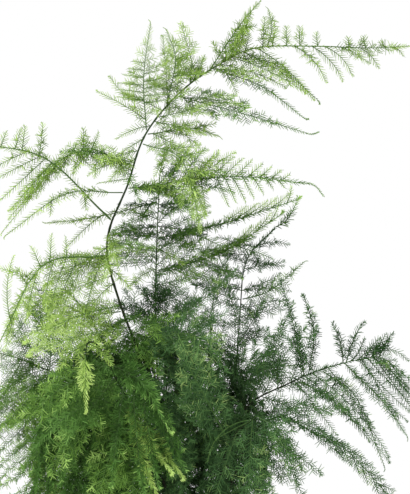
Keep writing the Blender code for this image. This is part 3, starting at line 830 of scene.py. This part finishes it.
    ("right_low_cane", "dark"): [
        (50, 104, 0, 14, 34, 11), (55, 140, 0, 14, 34, 11), (45, 70, -10, 14, 40, 11),
    ],
    ("front_bright_spray", "bright"): [
        (55, -66, 0, 10, 46, 8), (72, -68, 6, 10, 62, 9), (50, -84, 8, 12, 88, 9), (35, -88, 8, 14, 106, 9),
        (25, -100, 6, 12, 96, 9),
    ],
    ("tall_cane", "fresh"): [
        (43, 212, 52, 10, 78, 12), (39, 196, 12, 15, 64, 13), (35, 188, 26, 20, 92, 15),
        (32, 184, 20, 25, 96, 15), (41, 186, 30, 5, 60, 10), (42, 222, 24, 8, 34, 8),
        (38, 214, 30, 8, 36, 8), (42.8, -84, -10, 28, 26, 6), (41.2, -112, 14, 24, 20, 5),
        (44.8, -66, -30, 24, 24, 6),
    ],
    ("front_cane", "tip"): [(37, -44, -8, 34, 70, 8), (42, -66, 22, 34, 80, 8), (38, -84, 24, 34, 80, 8)],
    ("shoulder_hanging_spray", "fresh"): [
        (75, -76, -8, 5, 34, 4), (66, -62, -14, 5, 36, 4), (70, -84, -4, 5, 30, 4),
    ],
    ("right_leader", "brush"): [(42, 64, -6, 0, 24, 5), (30, 54, -20, 0, 22, 5)],
    ("right_low_leader", "deep"): [
        (30, -14, -6, 5, 16, 4), (40, -20, -6, 5, 16, 4), (50, -18, -6, 5, 16, 4), (60, -22, -6, 5, 16, 4),
        (70, -24, -6, 5, 16, 4), (80, -22, -6, 5, 15, 4), (35, -66, 0, 5, 16, 4), (45, -66, 0, 5, 16, 4),
        (55, -68, 0, 5, 16, 4), (65, -72, 0, 5, 16, 4), (75, -70, 0, 5, 16, 4), (85, -70, 0, 5, 14, 4),
    ],
    ("straight_high_right_spray", "fresh"): [
        (93, 60, 30, 0, 16, 3), (82, 30, 16, 0, 22, 4), (74, 32, 10, 0, 22, 4), (66, 30, 10, 0, 24, 4),
        (58, 30, 10, 0, 26, 4), (50, 32, 6, 0, 26, 5),
    ],
    ("straight_low_right_spray", "fresh"): [
        (90, 50, 20, 0, 16, 3), (78, 46, 10, 0, 22, 4), (66, 42, 6, 0, 24, 4), (58, 44, 4, 0, 26, 5),
    ],
    ("front_right_cane", "deep"): [
        (90, -32, -6, 5, 74, 13), (70, -62, -6, 5, 92, 20), (85, -70, -10, 14, 70, 15),
        (95, -96, 6, 14, 66, 14), (75, -110, 0, 14, 70, 15),
    ],
    ("front_cane", "mature"): [(55, 198, 34, 0, 92, 20), (50, 230, 10, 0, 98, 20), (42, 248, 8, 5, 92, 20)],
    ("front_cane", "bright"): [
        (50, -34, -24, 14, 84, 10), (45, -56, 0, 10, 80, 9), (40, -62, 4, 6, 64, 9), (36, -92, 6, 5, 54, 9),
        (40, 250, 30, 5, 60, 10), (55, -24, -40, 12, 78, 9),
    ],
    ("front_cane", "young"): [(85, 198, 44, 5, 32, 9), (83, -18, -44, 5, 27, 8)],
    ("right_upper_cane", "core"): [
        (42, -92, 4, 0, 84, 22), (47, -78, 2, 4, 92, 19), (37, -112, 6, 0, 84, 22),
        (50, -64, -10, 6, 84, 17), (44, -122, 10, 4, 70, 18), (33, -84, 0, 8, 74, 22),
        (30, -62, 0, 8, 58, 17), (40, 228, 12, 8, 76, 15),
    ],
    ("front_right_cane", "stalk"): [(92, 202, 6, 24, 34, 0.2), (94, 178, 84, 26, 60, 0.2)],
}
SHOOT = {**HABIT, "bare": 0.03, "stout": 0.8, "lead": 2.5 * MM}
SHOOT_HABITS = {  # the frame's slot that each kind wears, and how it grows
    "young": ("young_sprays", {**SHOOT, "youth": (0.3, 0.75)}),
    "fresh": ("young_sprays", {**SHOOT, "youth": (0.45, 1.0)}),
    "tip": ("young_sprays", {**SHOOT, **TIP, "youth": (0.2, 1.1), "ripe": 1.6, "high": 0.8, "low": 0.8}),
    "mature": ("mature_sprays", {**SHOOT, "youth": (0.25, 0.7)}),
    "bright": ("mature_sprays", {**SHOOT, "youth": (0.15, 1.0), "ripe": 5, "tuft": 3, "round": 35}),
    "deep": ("deep_sprays", {**SHOOT, "youth": (0.25, 0.6), "gap": 4.8 * MM, "node": 2.4 * MM}),
    "brush": ("deep_sprays", {**HABIT, **BRUSH, "bare": 0.1}),
    # painted shade: youth 0.1 to 0.45 gives the darkest greens to shoots low inside the plant, where shade
    # falls
    "dark": ("deep_sprays", {
        **SHOOT, "youth": (0.1, 0.45), "gap": 4.0 * MM, "tuft": 3, "round": 40, "needle": NEEDLE,
    }),
    # painted shade: youth 0.05 to 0.35, the darkest greens, on broad shoots that fill the inside of the plant
    "core": ("deep_sprays", {
        **SHOOT, "youth": (0.05, 0.35), "gap": 5.0 * MM, "node": 3.1 * MM, "tuft": 3, "round": 40,
        "loose": 20, "size": 8.0 * MM, "width": 1.5 * MM, "needle": NEEDLE,
    }),
    "stalk": ("deep_sprays", {**SHOOT, "youth": (0.5, 1.0), "even": 0.0, "node": 12 * MM, "stout": 0.5}),
}
UPPER = (0, -math.sin(math.radians(62)), 0.5)  # a shoot's upper face: towards the viewer and up
SHOOT_POINTS = 9


def half_widths(share, half):
    """A leaf's outline: narrow at the foot, widest before the middle, narrow at the tip."""
    return half * np.sin(np.pi * (0.1 + 0.8 * share**0.8)) ** 0.6


def upper_side(ahead, upper):
    side = unit(np.cross(ahead, upper))
    return np.cross(side, ahead)


def shoot_blade(foot, heading, turn, toward, length, half):
    """The centre line, half widths and upper side of a shoot that curves away from its foot."""
    share = np.linspace(0, 1, SHOOT_POINTS)
    angle = np.radians(heading + turn * share)
    lean = np.radians(toward)
    away = -np.sin(lean) * np.ones(SHOOT_POINTS)
    ahead = np.stack([np.cos(angle) * np.cos(lean), away, np.sin(angle) * np.cos(lean)], axis=1)
    middles = 0.5 * (ahead[1:] + ahead[:-1]) * length / (SHOOT_POINTS - 1)
    centres = foot + np.vstack([np.zeros(3), np.cumsum(middles, axis=0)])
    return centres, half_widths(share, half), upper_side(ahead, UPPER)


parent_lines = {node: line[0] for node, line in {**cane_lines, **blades}.items()}
for number, ((parent, age), rows) in enumerate(SHOOTS.items()):
    slot, habit = SHOOT_HABITS[age]
    draw = np.random.default_rng(400 + number)
    grown = []
    for percent, heading, turn, toward, length, half in rows:
        foot = place_on(parent_lines[parent][None], np.array([0]), np.array([percent / 100]))[0]
        blade = shoot_blade(foot, heading, turn, toward, length * MM, half * MM)
        grown.append(grow_plume(draw, blade, habit))
    finish_plumes(f"{parent}_{age}_shoots", grown, "dome" if age == "bright" else slot, slot)
print(f"{sum(map(len, SHOOTS.values()))} side shoots, {sum(triangles.values())} triangles in all")

# %% [markdown]
# ## The dome
# Low in the plant the sprays are so many and so close that they read as one soft, dark dome. Each of
# these shoots leaves the nearest cane bare, comes out on an egg-shaped shell and follows it down, flat
# against it, as a frond hangs over its neighbours. Every third one follows it up instead, and broad
# shoots in the darkest greens fill the inside: that dark green is painted shade for the depth of the
# dome. The golden angle keeps them evenly apart all round. Their needles are drawn broader than the
# rest, because nobody sees them one by one.

# %% Shoots on a shell
DOME_MIDDLE = np.array((-36, 2, 190))  # in millimetres, as every size of the shell
DOME_HALF = np.array((118, 104, 148))
DOME_ARC = 38  # degrees of the shell that a shoot follows
DOME_POINTS = 11
HEART = np.array((-20, 0, 190)) * MM  # the shoots' feet lie towards this place
LIGHTER_GREEN_EDGE = -40, 22  # shoots that end left of the first, give or take the second, wear the lighter dome green; the rest wear the darker deep green
SHELL_SHOOTS = 126
CORE_SHOOTS = 44
DOME_HABIT = {
    **HABIT, "gap": 4.4 * MM, "node": 2.0 * MM, "size": 6.2 * MM, "width": 1.0 * MM, "round": 40, "loose": 20,
    "bare": 0.3, "stout": 0.9, "needle": NEEDLE, "youth": (0.15, 0.5),
}
# Inner shoots in the darkest greens, youth 0 to 0.25: painted shade for the depth of the dome.
SHADED_CORE_HABIT = {
    **DOME_HABIT, "gap": 5.5 * MM, "node": 3.0 * MM, "size": 8.0 * MM, "width": 1.4 * MM, "bare": 0.1,
    "youth": (0.0, 0.25),
}
GOLDEN = 180 * (3 - math.sqrt(5))


def down_from_top(number, count, top, span):
    """Degrees from straight up, whose cosines go down evenly from top, so that all stand equally close."""
    return math.degrees(math.acos(top - span * (number + 0.5) / count))


def on_shell(down, around):
    """A direction, as degrees from straight up and degrees round the plant."""
    down, around = math.radians(down), math.radians(around)
    return np.array((math.sin(down) * math.cos(around), math.sin(down) * math.sin(around), math.cos(down)))


def dome_shoot(draw, path, half, face, habit):
    """A shoot from the nearest cane through the points of the path."""
    start = path[0] + 0.55 * (HEART - path[0])
    cane, foot = cane_samples[np.linalg.norm(sample_points - start, axis=1).argmin()]
    centres = smooth(np.array([foot, *path]), DOME_POINTS)
    ahead = unit(np.gradient(centres, axis=0))
    age = "mature" if path[-1][0] < draw.normal(*LIGHTER_GREEN_EDGE) * MM else "deep"
    blade = centres, half_widths(np.linspace(0, 1, DOME_POINTS), half * MM), upper_side(ahead, face)
    dome.setdefault((cane, age), []).append(grow_plume(draw, blade, habit))


dome = {}
draw = np.random.default_rng(700)
cane_samples = [(node, point) for node, line in cane_lines.items() for point in smooth(line[0], 60)[10:52]]
sample_points = np.array([point for _, point in cane_samples])
for number in range(SHELL_SHOOTS):
    down = down_from_top(number, SHELL_SHOOTS, 0.84, 1.34)
    swing, depth = draw.uniform(-25, 25), draw.uniform(0.74, 1.0)
    start, end = (down, down - DOME_ARC) if number % 3 == 1 else (down - DOME_ARC, down)
    shares = (0, 0.35, 0.7, 1)
    out = [on_shell(start + (end - start) * t, GOLDEN * number + swing * t) for t in shares]
    path = [(DOME_MIDDLE + DOME_HALF * way * depth * (0.9 + 0.13 * t)) * MM for t, way in zip(shares, out)]
    dome_shoot(draw, path, 19 * draw.uniform(0.8, 1.15), out[1], DOME_HABIT)
for number in range(CORE_SHOOTS):
    way = on_shell(down_from_top(number, CORE_SHOOTS, 0.9, 1.5), GOLDEN * number)
    path = [(DOME_MIDDLE + DOME_HALF * way * depth) * MM for depth in (0.4, 0.75)]
    dome_shoot(draw, path, 24, np.cross(way, (way[1], -way[0], 0.3)), SHADED_CORE_HABIT)
for (cane, age), grown in dome.items():
    green = "dome" if age == "mature" else "deep_sprays"
    finish_plumes(f"{cane}_{age}_dome", grown, green, age + "_sprays")
print(f"{len(dome)} pieces, {SHELL_SHOOTS + CORE_SHOOTS} shoots, {sum(triangles.values())} triangles in all")

# %% [markdown]
# ## The canes
# A cane is a wiry stem, some three millimetres thick at the soil and thinner all the way up. It is
# nearly black at the foot, where the bark is old, and turns green towards its tip, the tall one most of
# all. Each joint is a slight swelling with a dry, hooked scale below it. The upper part of most canes
# carries needles of its own. The frame's line is followed in steps of 3 mm, so that the swellings show.
# Old bark is dull and finely streaked along the cane, which takes the shine off its round side.

# %% Cane bark
BARKS = [(0.0, "#1c1d10"), (0.25, "#1b2811"), (0.55, "#2e4a1c"), (0.85, "#55792f"), (1.0, "#86a04c")]
STREAK = MM / 4.5, MM / 4.5, MM / 0.45  # 0.2 mm across and 2.2 mm long
CANE_BARK, tree, shader, streaks = living_skin("cane_bark", 0.65, 0.12, BARKS, 0.16, STREAK, 3.0)
ridges = {"Strength": 0.4, "Distance": 0.15 * MM}
ridged = add_node(tree, "ShaderNodeBump", "Normal", inputs=ridges, links={"Height": streaks})
tree.links.new(ridged, shader.inputs["Normal"])

# %% Joints, scales and needles
CANE_STEP = 3 * MM
JOINT_GAP = 26 * MM
JOINT_LONG = 2.2 * MM
JOINT_SWELL = 0.28
SCALE_LONG = 2.4 * MM
CANE_NEEDLES = {**HABIT, "round": 50, "tuft": 3}
CANE_HABIT = {
    "thick": 1.0,   # against the frame's cane
    "fresh": 0.35,  # how much younger the bark is at the tip
    "leafy": None,  # the share of the way at which its own needles start
    "green": "mature_sprays",
}
CANE_HABITS = {
    "tall_cane": {"thick": 1.05, "fresh": 0.8, "leafy": 0.80, "green": "young_sprays"},
    "straight_cane": {"leafy": 0.70},
    "right_upper_cane": {"thick": 0.75, "leafy": 0.74, "green": "deep_sprays"},
    "right_cane": {"thick": 0.85, "leafy": 0.72, "green": "deep_sprays"},
    "right_low_cane": {"leafy": 0.62, "green": "deep_sprays"},
    "front_right_cane": {"green": "deep_sprays"},
    "left_cane": {"leafy": 0.80},
    "back_left_cane": {"leafy": 0.72},
    "back_cane": {"leafy": 0.75},
}
for number, node in enumerate(CANES):
    draw = np.random.default_rng(800 + number)
    habit = {**CANE_HABIT, **CANE_HABITS.get(node, {})}
    centres, radii = cane_lines[node]
    length = way_along(centres)
    steps = int(length / CANE_STEP)
    line = smooth(centres, steps + 1)[None]
    share = np.linspace(0, 1, steps + 1)
    thick = np.interp(share, np.linspace(0, 1, len(radii)), radii)
    thick = thick * (0.9 - 0.15 * share) * habit["thick"]
    joints = np.arange(1, int(length / JOINT_GAP)) * JOINT_GAP / length
    joints += draw.uniform(-0.2, 0.2, len(joints)) * JOINT_GAP / length
    beside = (share[:, None] - joints) * length
    thick = thick * (1 + JOINT_SWELL * np.exp(-((beside / JOINT_LONG) ** 2)).sum(axis=1))
    across = np.linalg.svd(line[0] - line[0].mean(axis=0))[2][2:]
    youth = (0.02 + habit["fresh"] * share**1.6)[None]
    stem = bend_copies(template(8, steps, 1.0), line, thick[None], youth, across)

    plane = np.repeat(across[None], steps + 1, axis=1)
    foot, ahead, _, _ = lie_on(line, plane, np.zeros(len(joints), dtype=int), joints)
    aside = unit(np.cross(ahead, draw.normal(0, 1, (len(joints), 3))))
    bulge = np.interp(joints, share, thick)[:, None]
    scale_tips = foot + aside * (bulge + SCALE_LONG * 0.7) - ahead * SCALE_LONG * 0.5
    scales = bend_copies(
        NEEDLE, np.stack([foot + ahead * 0.8 * MM, scale_tips], axis=1),
        np.repeat([[0.6 * MM, 0.0]], len(joints), axis=0), np.full((len(joints), 2), 0.25), ahead,
    )
    parts = [merged([stem, scales])]
    if habit["leafy"]:
        fresh = np.clip(0.25 + 0.3 * share, 0, 1)[None]
        sizes = np.full(fresh.shape, 5.5 * MM)
        lengths = np.array([length])
        parts.append(needles(draw, line, plane, fresh, lengths, CANE_NEEDLES, habit["leafy"], sizes))
    piece = make_piece(node + "_stem", parts, [CANE_BARK, NEEDLE_GREEN[habit["green"]]])
    settle(piece, "cane_bark", node)
    triangles[piece.name] = len(piece.data.polygons)
print(f"{len(CANES)} canes, {sum(triangles.values())} triangles in all")

# %% [markdown]
# ## The pot
# The pot is plain terracotta: red clay turned on a wheel and fired without a glaze. It is a turned
# shape, so its outline is spun round the axis in one full turn, its sharp rings are bevelled, and the
# three drain holes are cut with a Boolean. The outline's sizes come from the frame's pot.

# %% Measure the frame's pot and soil
def radii_at(node, low, high):
    """The least and greatest radius of a CAD node's points between two heights."""
    points = np.array([vert.co for vert in frame["nodes"][node].data.vertices])
    chosen = points[(points[:, 2] > low) & (points[:, 2] < high)]
    radius = np.hypot(chosen[:, 0], chosen[:, 1])
    return radius.min(), radius.max()


pot_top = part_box("pot")[1].z
soil_low, soil_crown = (corner.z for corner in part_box("soil"))
RIM_BAND = 28 * MM
RIM_STEP = 4 * MM
FLOOR = soil_low - 0.3 * MM
RIM = radii_at("pot", pot_top - 2 * MM, pot_top + MM)[1]
MOUTH = radii_at("pot", pot_top - 2 * MM, pot_top - MM)[0]
BASE = radii_at("pot", MM, 2 * MM)[1]
FLOOR_ROUND = radii_at("soil", soil_low - MM, soil_low + MM)[1]
HOLES, HOLE, HOLE_CIRCLE = 3, 6 * MM, 26 * MM  # their number, radius and distance from the axis
print(f"pot {pot_top:.3f} m high, radii: rim {RIM:.4f}, mouth {MOUTH:.4f}, base {BASE:.4f} m")


# %% Turn the pot
def mesh_of(bm, name):
    """A mesh from a bmesh, which is freed."""
    mesh = bpy.data.meshes.new(name)
    bm.to_mesh(mesh)
    bm.free()
    return mesh


def in_order(bm):
    """A bmesh's copy with sorted faces. A spin makes them in an order that changes from run to run."""
    bm.verts.index_update()
    copy = bmesh.new()
    verts = [copy.verts.new(vert.co) for vert in bm.verts]
    for face in sorted([vert.index for vert in face.verts] for face in bm.faces):
        copy.faces.new([verts[index] for index in face])
    copy.normal_update()
    bm.free()
    return copy


def turned_piece(name, outline, segments, bevel):
    """An outline of (radius, height) points from axis to axis, spun a full turn, sharp rings bevelled."""
    bm = bmesh.new()
    verts = [bm.verts.new((radius, 0, height)) for radius, height in outline]
    edges = [bm.edges.new(pair) for pair in zip(verts, verts[1:])]
    bmesh.ops.spin(
        bm, geom=verts + edges, cent=(0, 0, 0), axis=(0, 0, 1),
        angle=2 * math.pi, steps=segments, use_merge=True,
    )
    bmesh.ops.remove_doubles(bm, verts=bm.verts, dist=0.01 * MM)
    bmesh.ops.recalc_face_normals(bm, faces=bm.faces)
    bm = in_order(bm)
    if bevel:
        sharp = [edge for edge in bm.edges if edge.calc_face_angle(0) > math.radians(30)]
        bmesh.ops.bevel(
            bm, geom=sharp, offset=bevel, offset_type="OFFSET", affect="EDGES",
            segments=3, profile=0.5, material=-1,
        )
    return add_object(name, mesh_of(bm, name))


band_low = pot_top - RIM_BAND
under_band = BASE + (RIM - RIM_STEP - BASE) * band_low / pot_top
pot = turned_piece("terracotta_pot", [
    (0, 0), (BASE, 0), (under_band, band_low), (RIM, band_low), (RIM, pot_top), (MOUTH, pot_top),
    (FLOOR_ROUND + 0.3 * MM, FLOOR), (0, FLOOR),
], 128, 1.5 * MM)
cutters = []
for number in range(HOLES):
    bm = bmesh.new()
    bmesh.ops.create_cone(bm, cap_ends=True, segments=32, radius1=HOLE, radius2=HOLE, depth=4 * FLOOR)
    angle = 2 * math.pi * number / HOLES
    place = HOLE_CIRCLE * math.cos(angle), HOLE_CIRCLE * math.sin(angle), 0
    bmesh.ops.translate(bm, verts=bm.verts, vec=place)
    cutters.append(add_object("drain_cutter", mesh_of(bm, "drain_cutter")))
    hole = pot.modifiers.new("drain_hole", "BOOLEAN")
    hole.object = cutters[-1]
    hole.solver = "EXACT"
drilled = bpy.data.meshes.new_from_object(pot.evaluated_get(bpy.context.evaluated_depsgraph_get()))
pot.modifiers.clear()
pot.data = drilled
for cutter in cutters:
    bpy.data.objects.remove(cutter)
pot.data.shade_smooth()
pot.data.set_sharp_from_angle(angle=math.radians(35))
settle(pot, "terracotta", "pot")
print(f"{len(pot.data.polygons)} faces")


# %% [markdown]
# ## Terracotta
# Fired red clay is matt and a little uneven. It gives the eye four things: slow blotches from the kiln,
# fine grit, rings from the wheel a few millimetres apart, and a chalky bloom where lime from the water
# has dried, most of it low on the wall. The grit is drawn 1.2 mm wide, some three times its real size.

# %% The clay
BLOTCH, CLOUD, GRIT, RING = 28 * MM, 17 * MM, 1.2 * MM, 3.2 * MM


def terracotta():
    material, tree, shader, place = new_material("terracotta", 0.86, 0.25)
    blotches, grit, clouds = (
        add_node(tree, "ShaderNodeTexNoise", "Fac", inputs=inputs, links={"Vector": place})
        for inputs in (
            {"Scale": 1 / BLOTCH, "Detail": 4.0},
            {"Scale": 1 / GRIT, "Detail": 2.0},
            {"Scale": 1 / CLOUD, "Detail": 7.0, "Roughness": 0.65},
        )
    )
    height = add_node(tree, "ShaderNodeSeparateXYZ", "Z", links={"Vector": place})
    ends = {"From Max": pot_top, "To Min": 0.16, "To Max": -0.1}
    low = add_node(tree, "ShaderNodeMapRange", "Result", inputs=ends, links={"Value": height})
    dried = add_node(tree, "ShaderNodeMath", "Value", {"operation": "ADD"}, links={0: clouds, 1: low})
    clay, specks, bloom = (
        add_node(tree, "ShaderNodeValToRGB", "Color", links={"Fac": factor}, stops=stops)
        for factor, stops in (
            (blotches, [(0.3, "#98492c"), (0.5, "#b35f3d"), (0.72, "#c67a54")]),
            (grit, [(0.34, "#8a8a8a"), (0.44, "#ffffff"), (0.66, "#ffffff")]),
            (dried, [(0.52, "#000000"), (0.74, "#8c8c8c")]),
        )
    )
    multiply = {"data_type": "RGBA", "blend_type": "MULTIPLY"}
    gritty = add_node(tree, "ShaderNodeMix", 2, multiply, {"Factor": 0.55}, {6: clay, 7: specks})
    chalk = {7: linear("#dccbb8")}
    chalky = add_node(tree, "ShaderNodeMix", 2, {"data_type": "RGBA"}, chalk, {"Factor": bloom, 6: gritty})
    tree.links.new(chalky, shader.inputs["Base Color"])
    bands = {"wave_type": "BANDS", "bands_direction": "Z"}
    wobble = {"Scale": 1 / RING / 3.2, "Distortion": 1.6, "Detail": 2.0, "Detail Scale": 0.6}
    rings = add_node(tree, "ShaderNodeTexWave", "Fac", bands, wobble, {"Vector": place})
    turned_marks = {"Strength": 0.35, "Distance": 0.25 * MM}
    ringed = add_node(tree, "ShaderNodeBump", "Normal", inputs=turned_marks, links={"Height": rings})
    grains = {"Strength": 0.5, "Distance": 0.2 * MM}
    rough = add_node(
        tree, "ShaderNodeBump", "Normal", inputs=grains, links={"Height": grit, "Normal": ringed}
    )
    tree.links.new(rough, shader.inputs["Normal"])
    return material


pot.data.materials.clear()
pot.data.materials.append(terracotta())

# %% [markdown]
# ## The soil
# Potting soil is dark peat with lumps and white grains of perlite, and old needles that have dropped.
# The ground is a turned shape whose top is pushed up and down by noise. The lumps and grains are tiny
# icospheres of twenty faces, turned and stretched at random, and set on the same noise.

# %% Ground
SOIL_STEP = 3.2 * MM
CROWN_ROUND = 34 * MM  # the level middle's radius
edge_round = radii_at("soil", soil_low + 50 * MM, soil_crown - 3 * MM)[1] - 0.2 * MM
edge_height = max(
    vert.co.z for vert in frame["nodes"]["soil"].data.vertices
    if math.hypot(vert.co.x, vert.co.y) > edge_round - 2 * MM
)


def ground(x, y):
    """The height of the soil's top at a place."""
    radius = math.hypot(x, y)
    fall = min(max((radius - CROWN_ROUND) / (edge_round - CROWN_ROUND), 0), 1)
    lumps = noise.noise(Vector((x, y, 0)) / (9 * MM)) + 0.6 * noise.noise(Vector((x, y, 0.3)) / (3.6 * MM))
    return soil_crown - 1.2 * MM + (edge_height - soil_crown) * fall + 1.3 * MM * lumps


top = [(radius, soil_crown) for radius in np.linspace(0, edge_round, int(edge_round / SOIL_STEP))]
soil = turned_piece("potting_soil", [(0, soil_low), (FLOOR_ROUND, soil_low), *top[::-1]], 96, 0)
for vert in soil.data.vertices:
    if vert.co.z > soil_crown - 0.5 * MM:
        vert.co.z = ground(vert.co.x, vert.co.y)
soil.data.shade_smooth()


def crumbly(name, stops, roughness):
    """Matt earth or stone: a noise of 3 mm patches gives the colour and the bumps."""
    material, tree, shader, place = new_material(name, roughness, 0.2)
    crumbs = {"Scale": 1 / (3 * MM), "Detail": 6.0, "Roughness": 0.7}
    patches = add_node(tree, "ShaderNodeTexNoise", "Fac", inputs=crumbs, links={"Vector": place})
    colour = add_node(tree, "ShaderNodeValToRGB", "Color", links={"Fac": patches}, stops=stops)
    tree.links.new(colour, shader.inputs["Base Color"])
    bumps = {"Strength": 0.8, "Distance": 0.8 * MM}
    bumpy = add_node(tree, "ShaderNodeBump", "Normal", inputs=bumps, links={"Height": patches})
    tree.links.new(bumpy, shader.inputs["Normal"])
    return material


PEAT = crumbly("peat", [(0.3, "#120c08"), (0.5, "#2a1d14"), (0.7, "#463324")], 0.95)
PERLITE = crumbly("perlite", [(0.3, "#b9b4a8"), (0.6, "#e9e6dc")], 0.9)
DRY_NEEDLE = crumbly("dry_needle", [(0.3, "#8a6a35"), (0.7, "#c2a463")], 0.7)
soil.data.materials.append(PEAT)
settle(soil, "potting_soil", "soil")


# %% Lumps, perlite and dropped needles
def on_ground(draw, count, margin):
    """Random places on the soil, at least a margin from the pot."""
    radius = np.sqrt(draw.uniform(0, 1, count)) * (edge_round - margin)
    angle = draw.uniform(0, 2 * np.pi, count)
    x, y = radius * np.cos(angle), radius * np.sin(angle)
    return np.stack([x, y, [ground(*place) for place in zip(x, y)]], axis=1)


def scatter(name, draw, count, smallest, largest, material):
    """Lumps of random size and turn on the soil."""
    bm = bmesh.new()
    bmesh.ops.create_icosphere(bm, subdivisions=1, radius=1.0)
    points, faces = arrays(bm)
    places = on_ground(draw, count, largest)
    turns = np.linalg.qr(draw.normal(0, 1, (count, 3, 3)))[0]
    turns[np.linalg.det(turns) < 0, :, 0] *= -1
    sizes = draw.uniform(smallest, largest, (count, 1, 1)) * draw.uniform(0.6, 1.0, (count, 1, 3))
    rough = points * (1 + draw.uniform(-0.16, 0.16, (count, len(points), 1)))
    places[:, 2] += 0.3 * sizes.max(axis=(1, 2))
    placed = (rough * sizes) @ turns + places[:, None]
    numbered = faces + len(points) * np.arange(count)[:, None, None]
    part = placed.reshape(-1, 3), numbered.reshape(-1, 3), np.zeros(count * len(points))
    settle(make_piece(name, [part], [material]), "potting_soil")


LUMPS, GRAINS, DROPPED = 420, 60, 150
draw = np.random.default_rng(900)
scatter("soil_lumps", draw, LUMPS, 0.8 * MM, 2.6 * MM, PEAT)
scatter("perlite_grains", draw, GRAINS, 0.8 * MM, 1.8 * MM, PERLITE)
foot = on_ground(draw, DROPPED, 6 * MM) + np.array((0, 0, 0.9 * MM))
heading = draw.uniform(0, 2 * np.pi, DROPPED)
along = np.stack([np.cos(heading), np.sin(heading), draw.normal(0.05, 0.15, DROPPED)], axis=1)
dropped = bend_copies(
    NEEDLE, np.stack([foot, foot + 5.5 * MM * along], axis=1), np.repeat([[0.35 * MM, 0.0]], DROPPED, axis=0),
    np.zeros((DROPPED, 2)), draw.normal(0, 1, (DROPPED, 3)),
)
settle(make_piece("dropped_needles", [dropped], [DRY_NEEDLE]), "potting_soil")
print(f"{LUMPS} lumps, {GRAINS} grains of perlite and {DROPPED} dropped needles")

# %% [markdown]
# ## The floor
# A pale matt disc carries the pot's shadow. It is part of the studio, not of the plant.

# %% Studio floor
bm = bmesh.new()
bmesh.ops.create_circle(bm, cap_ends=True, segments=96, radius=1.1)
floor_disc = add_object("studio_floor", mesh_of(bm, "studio_floor"))
paper, tree, shader, place = new_material("studio_paper", 0.95, 0.1)
specks = {"Scale": 1 / (4 * MM), "Detail": 3.0}
fibres = add_node(tree, "ShaderNodeTexNoise", "Fac", inputs=specks, links={"Vector": place})
whites = [(0.3, "#efefed"), (0.7, "#f6f6f4")]
white = add_node(tree, "ShaderNodeValToRGB", "Color", links={"Fac": fibres}, stops=whites)
tree.links.new(white, shader.inputs["Base Color"])
floor_disc.data.materials.append(paper)
